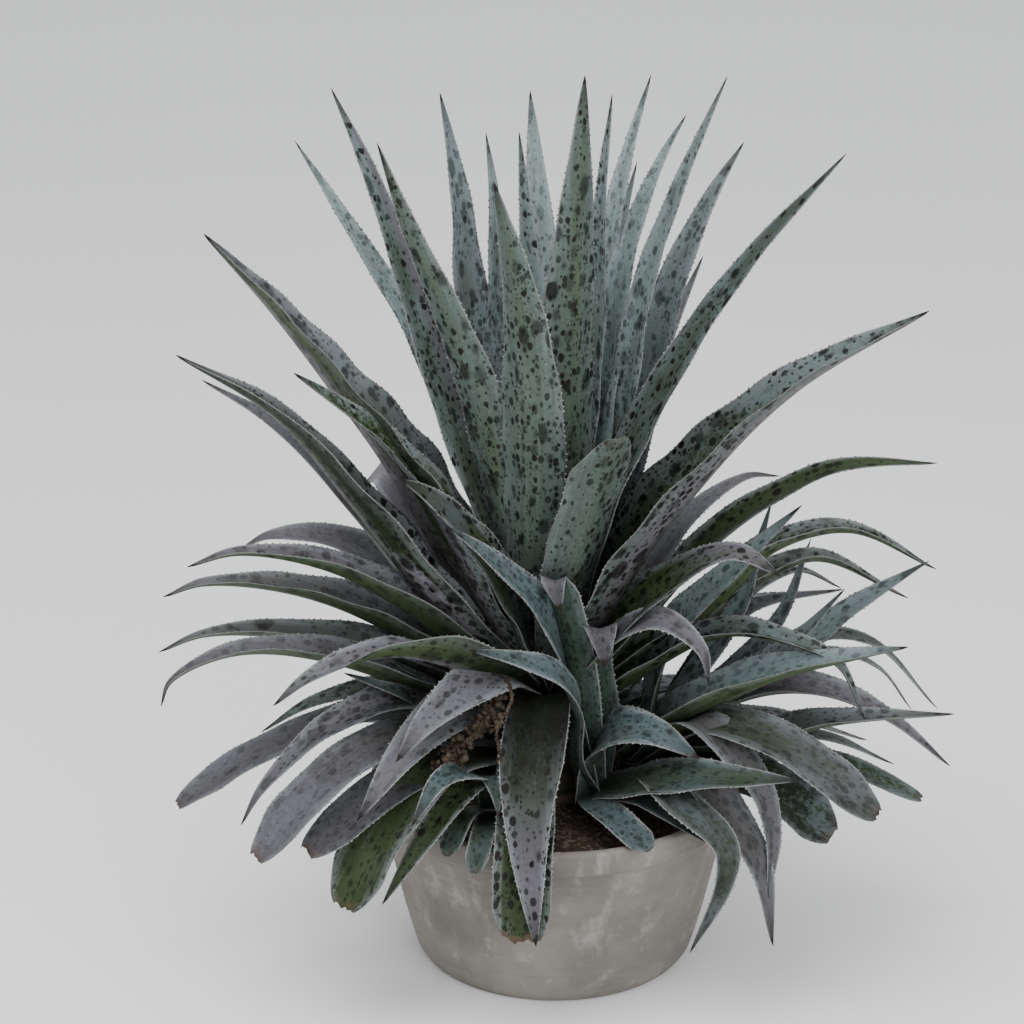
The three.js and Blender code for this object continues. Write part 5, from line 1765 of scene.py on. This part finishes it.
class MANGAVE_OT_remains(bpy.types.Operator):
    """Makes the dried remains of an old flower stalk."""

    bl_idname = "mangave.remains"
    bl_label = "Dried remains"

    def execute(self, context):
        """Makes a bent stalk with knobbly buds round it."""
        material = dried_material(context.scene.mangave_pot)
        way = Spine([seen(*point) for point in REMAINS_WAY])
        draw = seeded_random(REMAINS_SEED)
        shape = bmesh.new()
        self.tube(shape, way.at(np.linspace(0.0, 1.0, STALK_SECTIONS)), STALK_RADIUS)
        strip = Spine([seen(*point) for point in STRIP_WAY])
        strip_places = strip.at(np.linspace(0.0, 1.0, STRIP_BUDS))
        self.tube(shape, strip_places, STRIP_RADIUS)
        for place in strip_places:
            offset = np.array([draw() - 0.5, draw() - 0.5, draw() - 0.5]) * 0.0035
            self.bud(shape, place + offset, mix(0.0009, 0.0021, draw()), 40.0 * draw())
        for i in range(STALK_BUDS):
            share = mix(0.1, 1.0, draw())
            place = way.at(np.array([share]))[0]
            spread = np.array([draw() - 0.5, draw() - 0.5, draw() - 0.5])
            middle = place + unit(spread) * mix(0.001, mix(0.008, 0.019, smooth(share / 0.7)), draw())
            self.bud(shape, middle, mix(0.0016, 0.0035, draw()), 40.0 * draw())
            if i % 3 == 0:
                self.tube(shape, np.array([place, mix(place, middle, 0.5), middle]), TWIG_RADIUS)
        mesh = bpy.data.meshes.new("dried_flower_remains_skin")
        shape.to_mesh(mesh)
        shape.free()
        mesh.materials.append(material)
        mesh.shade_smooth()
        finish_piece(placed("dried_flower_remains_skin", mesh), ["dried_flower_remains"], "dried")
        return {"FINISHED"}

    def bud(self, shape, middle, radius, phase):
        """Adds a small shrivelled ball."""
        ball = bmesh.ops.create_icosphere(shape, subdivisions=2, radius=radius)
        for vertex in ball["verts"]:
            dent = 1.0 + 0.35 * noise.noise(vertex.co / radius * 1.3 + Vector((phase, 0, 0)))
            vertex.co = vertex.co * dent + Vector(middle)

    def tube(self, shape, points, radius):
        """Adds a round tube through points, with closed ends."""
        rings = []
        for i, point in enumerate(points):
            ahead = points[min(i + 1, len(points) - 1)] - points[max(i - 1, 0)]
            turn = Vector(ahead).to_track_quat("Z", "Y").to_matrix()
            size = radius * (1.0 + 0.18 * math.sin(2.1 * i))
            ring = []
            for k in range(TUBE_SIDES):
                angle = math.tau * k / TUBE_SIDES
                corner = turn @ Vector((size * math.cos(angle), size * math.sin(angle), 0.0))
                ring.append(shape.verts.new(Vector(point) + corner))
            rings.append(ring)
        for low, high in zip(rings, rings[1:]):
            for k in range(TUBE_SIDES):
                after = (k + 1) % TUBE_SIDES
                shape.faces.new((low[k], low[after], high[after], high[k]))
        shape.faces.new(rings[0][::-1])
        shape.faces.new(rings[-1])


class MANGAVE_PT_panel(bpy.types.Panel):
    """Lists the sizes, the colours and the steps that build the plant."""

    bl_label = "Mangave"
    bl_idname = "MANGAVE_PT_panel"
    bl_space_type = "VIEW_3D"
    bl_region_type = "UI"
    bl_category = "Mangave"

    def draw(self, context):
        """Draws the panel."""
        for operator in OPERATORS:
            self.layout.operator(operator.bl_idname)
        for group in SETTINGS:
            box = self.layout.box()
            settings = getattr(context.scene, group)
            for name in settings.bl_rna.properties.keys():
                if name not in ("rna_type", "name"):
                    box.prop(settings, name)


SETTINGS = {
    "mangave_leaves": MangaveLeafSizes,
    "mangave_colours": MangaveLeafColours,
    "mangave_pot": MangavePotSettings,
    "mangave_stage": MangaveStageSettings,
}
OPERATORS = [
    MANGAVE_OT_stage,
    MANGAVE_OT_pot,
    MANGAVE_OT_soil,
    MANGAVE_OT_stem,
    MANGAVE_OT_heart,
    MANGAVE_OT_offsets,
    MANGAVE_OT_stem_leaves,
    MANGAVE_OT_back_leaves,
    MANGAVE_OT_teeth,
    MANGAVE_OT_remains,
]


def register():
    """Registers the settings, the operators and the panel."""
    for name, group in SETTINGS.items():
        bpy.utils.register_class(group)
        setattr(bpy.types.Scene, name, PointerProperty(type=group))
    for operator in OPERATORS:
        bpy.utils.register_class(operator)
    bpy.utils.register_class(MANGAVE_PT_panel)


def unregister():
    """Takes the panel, the operators and the settings away."""
    bpy.utils.unregister_class(MANGAVE_PT_panel)
    for operator in reversed(OPERATORS):
        bpy.utils.unregister_class(operator)
    for name, group in SETTINGS.items():
        delattr(bpy.types.Scene, name)
        bpy.utils.unregister_class(group)


def main():
    """Builds everything in order."""
    register()
    bpy.ops.mangave.stage()
    bpy.ops.mangave.pot()
    bpy.ops.mangave.soil()
    bpy.ops.mangave.stem()
    bpy.ops.mangave.heart()
    bpy.ops.mangave.offsets()
    bpy.ops.mangave.stem_leaves()
    bpy.ops.mangave.back_leaves()
    bpy.ops.mangave.teeth()
    bpy.ops.mangave.remains()


if __name__ == "__main__":
    main()
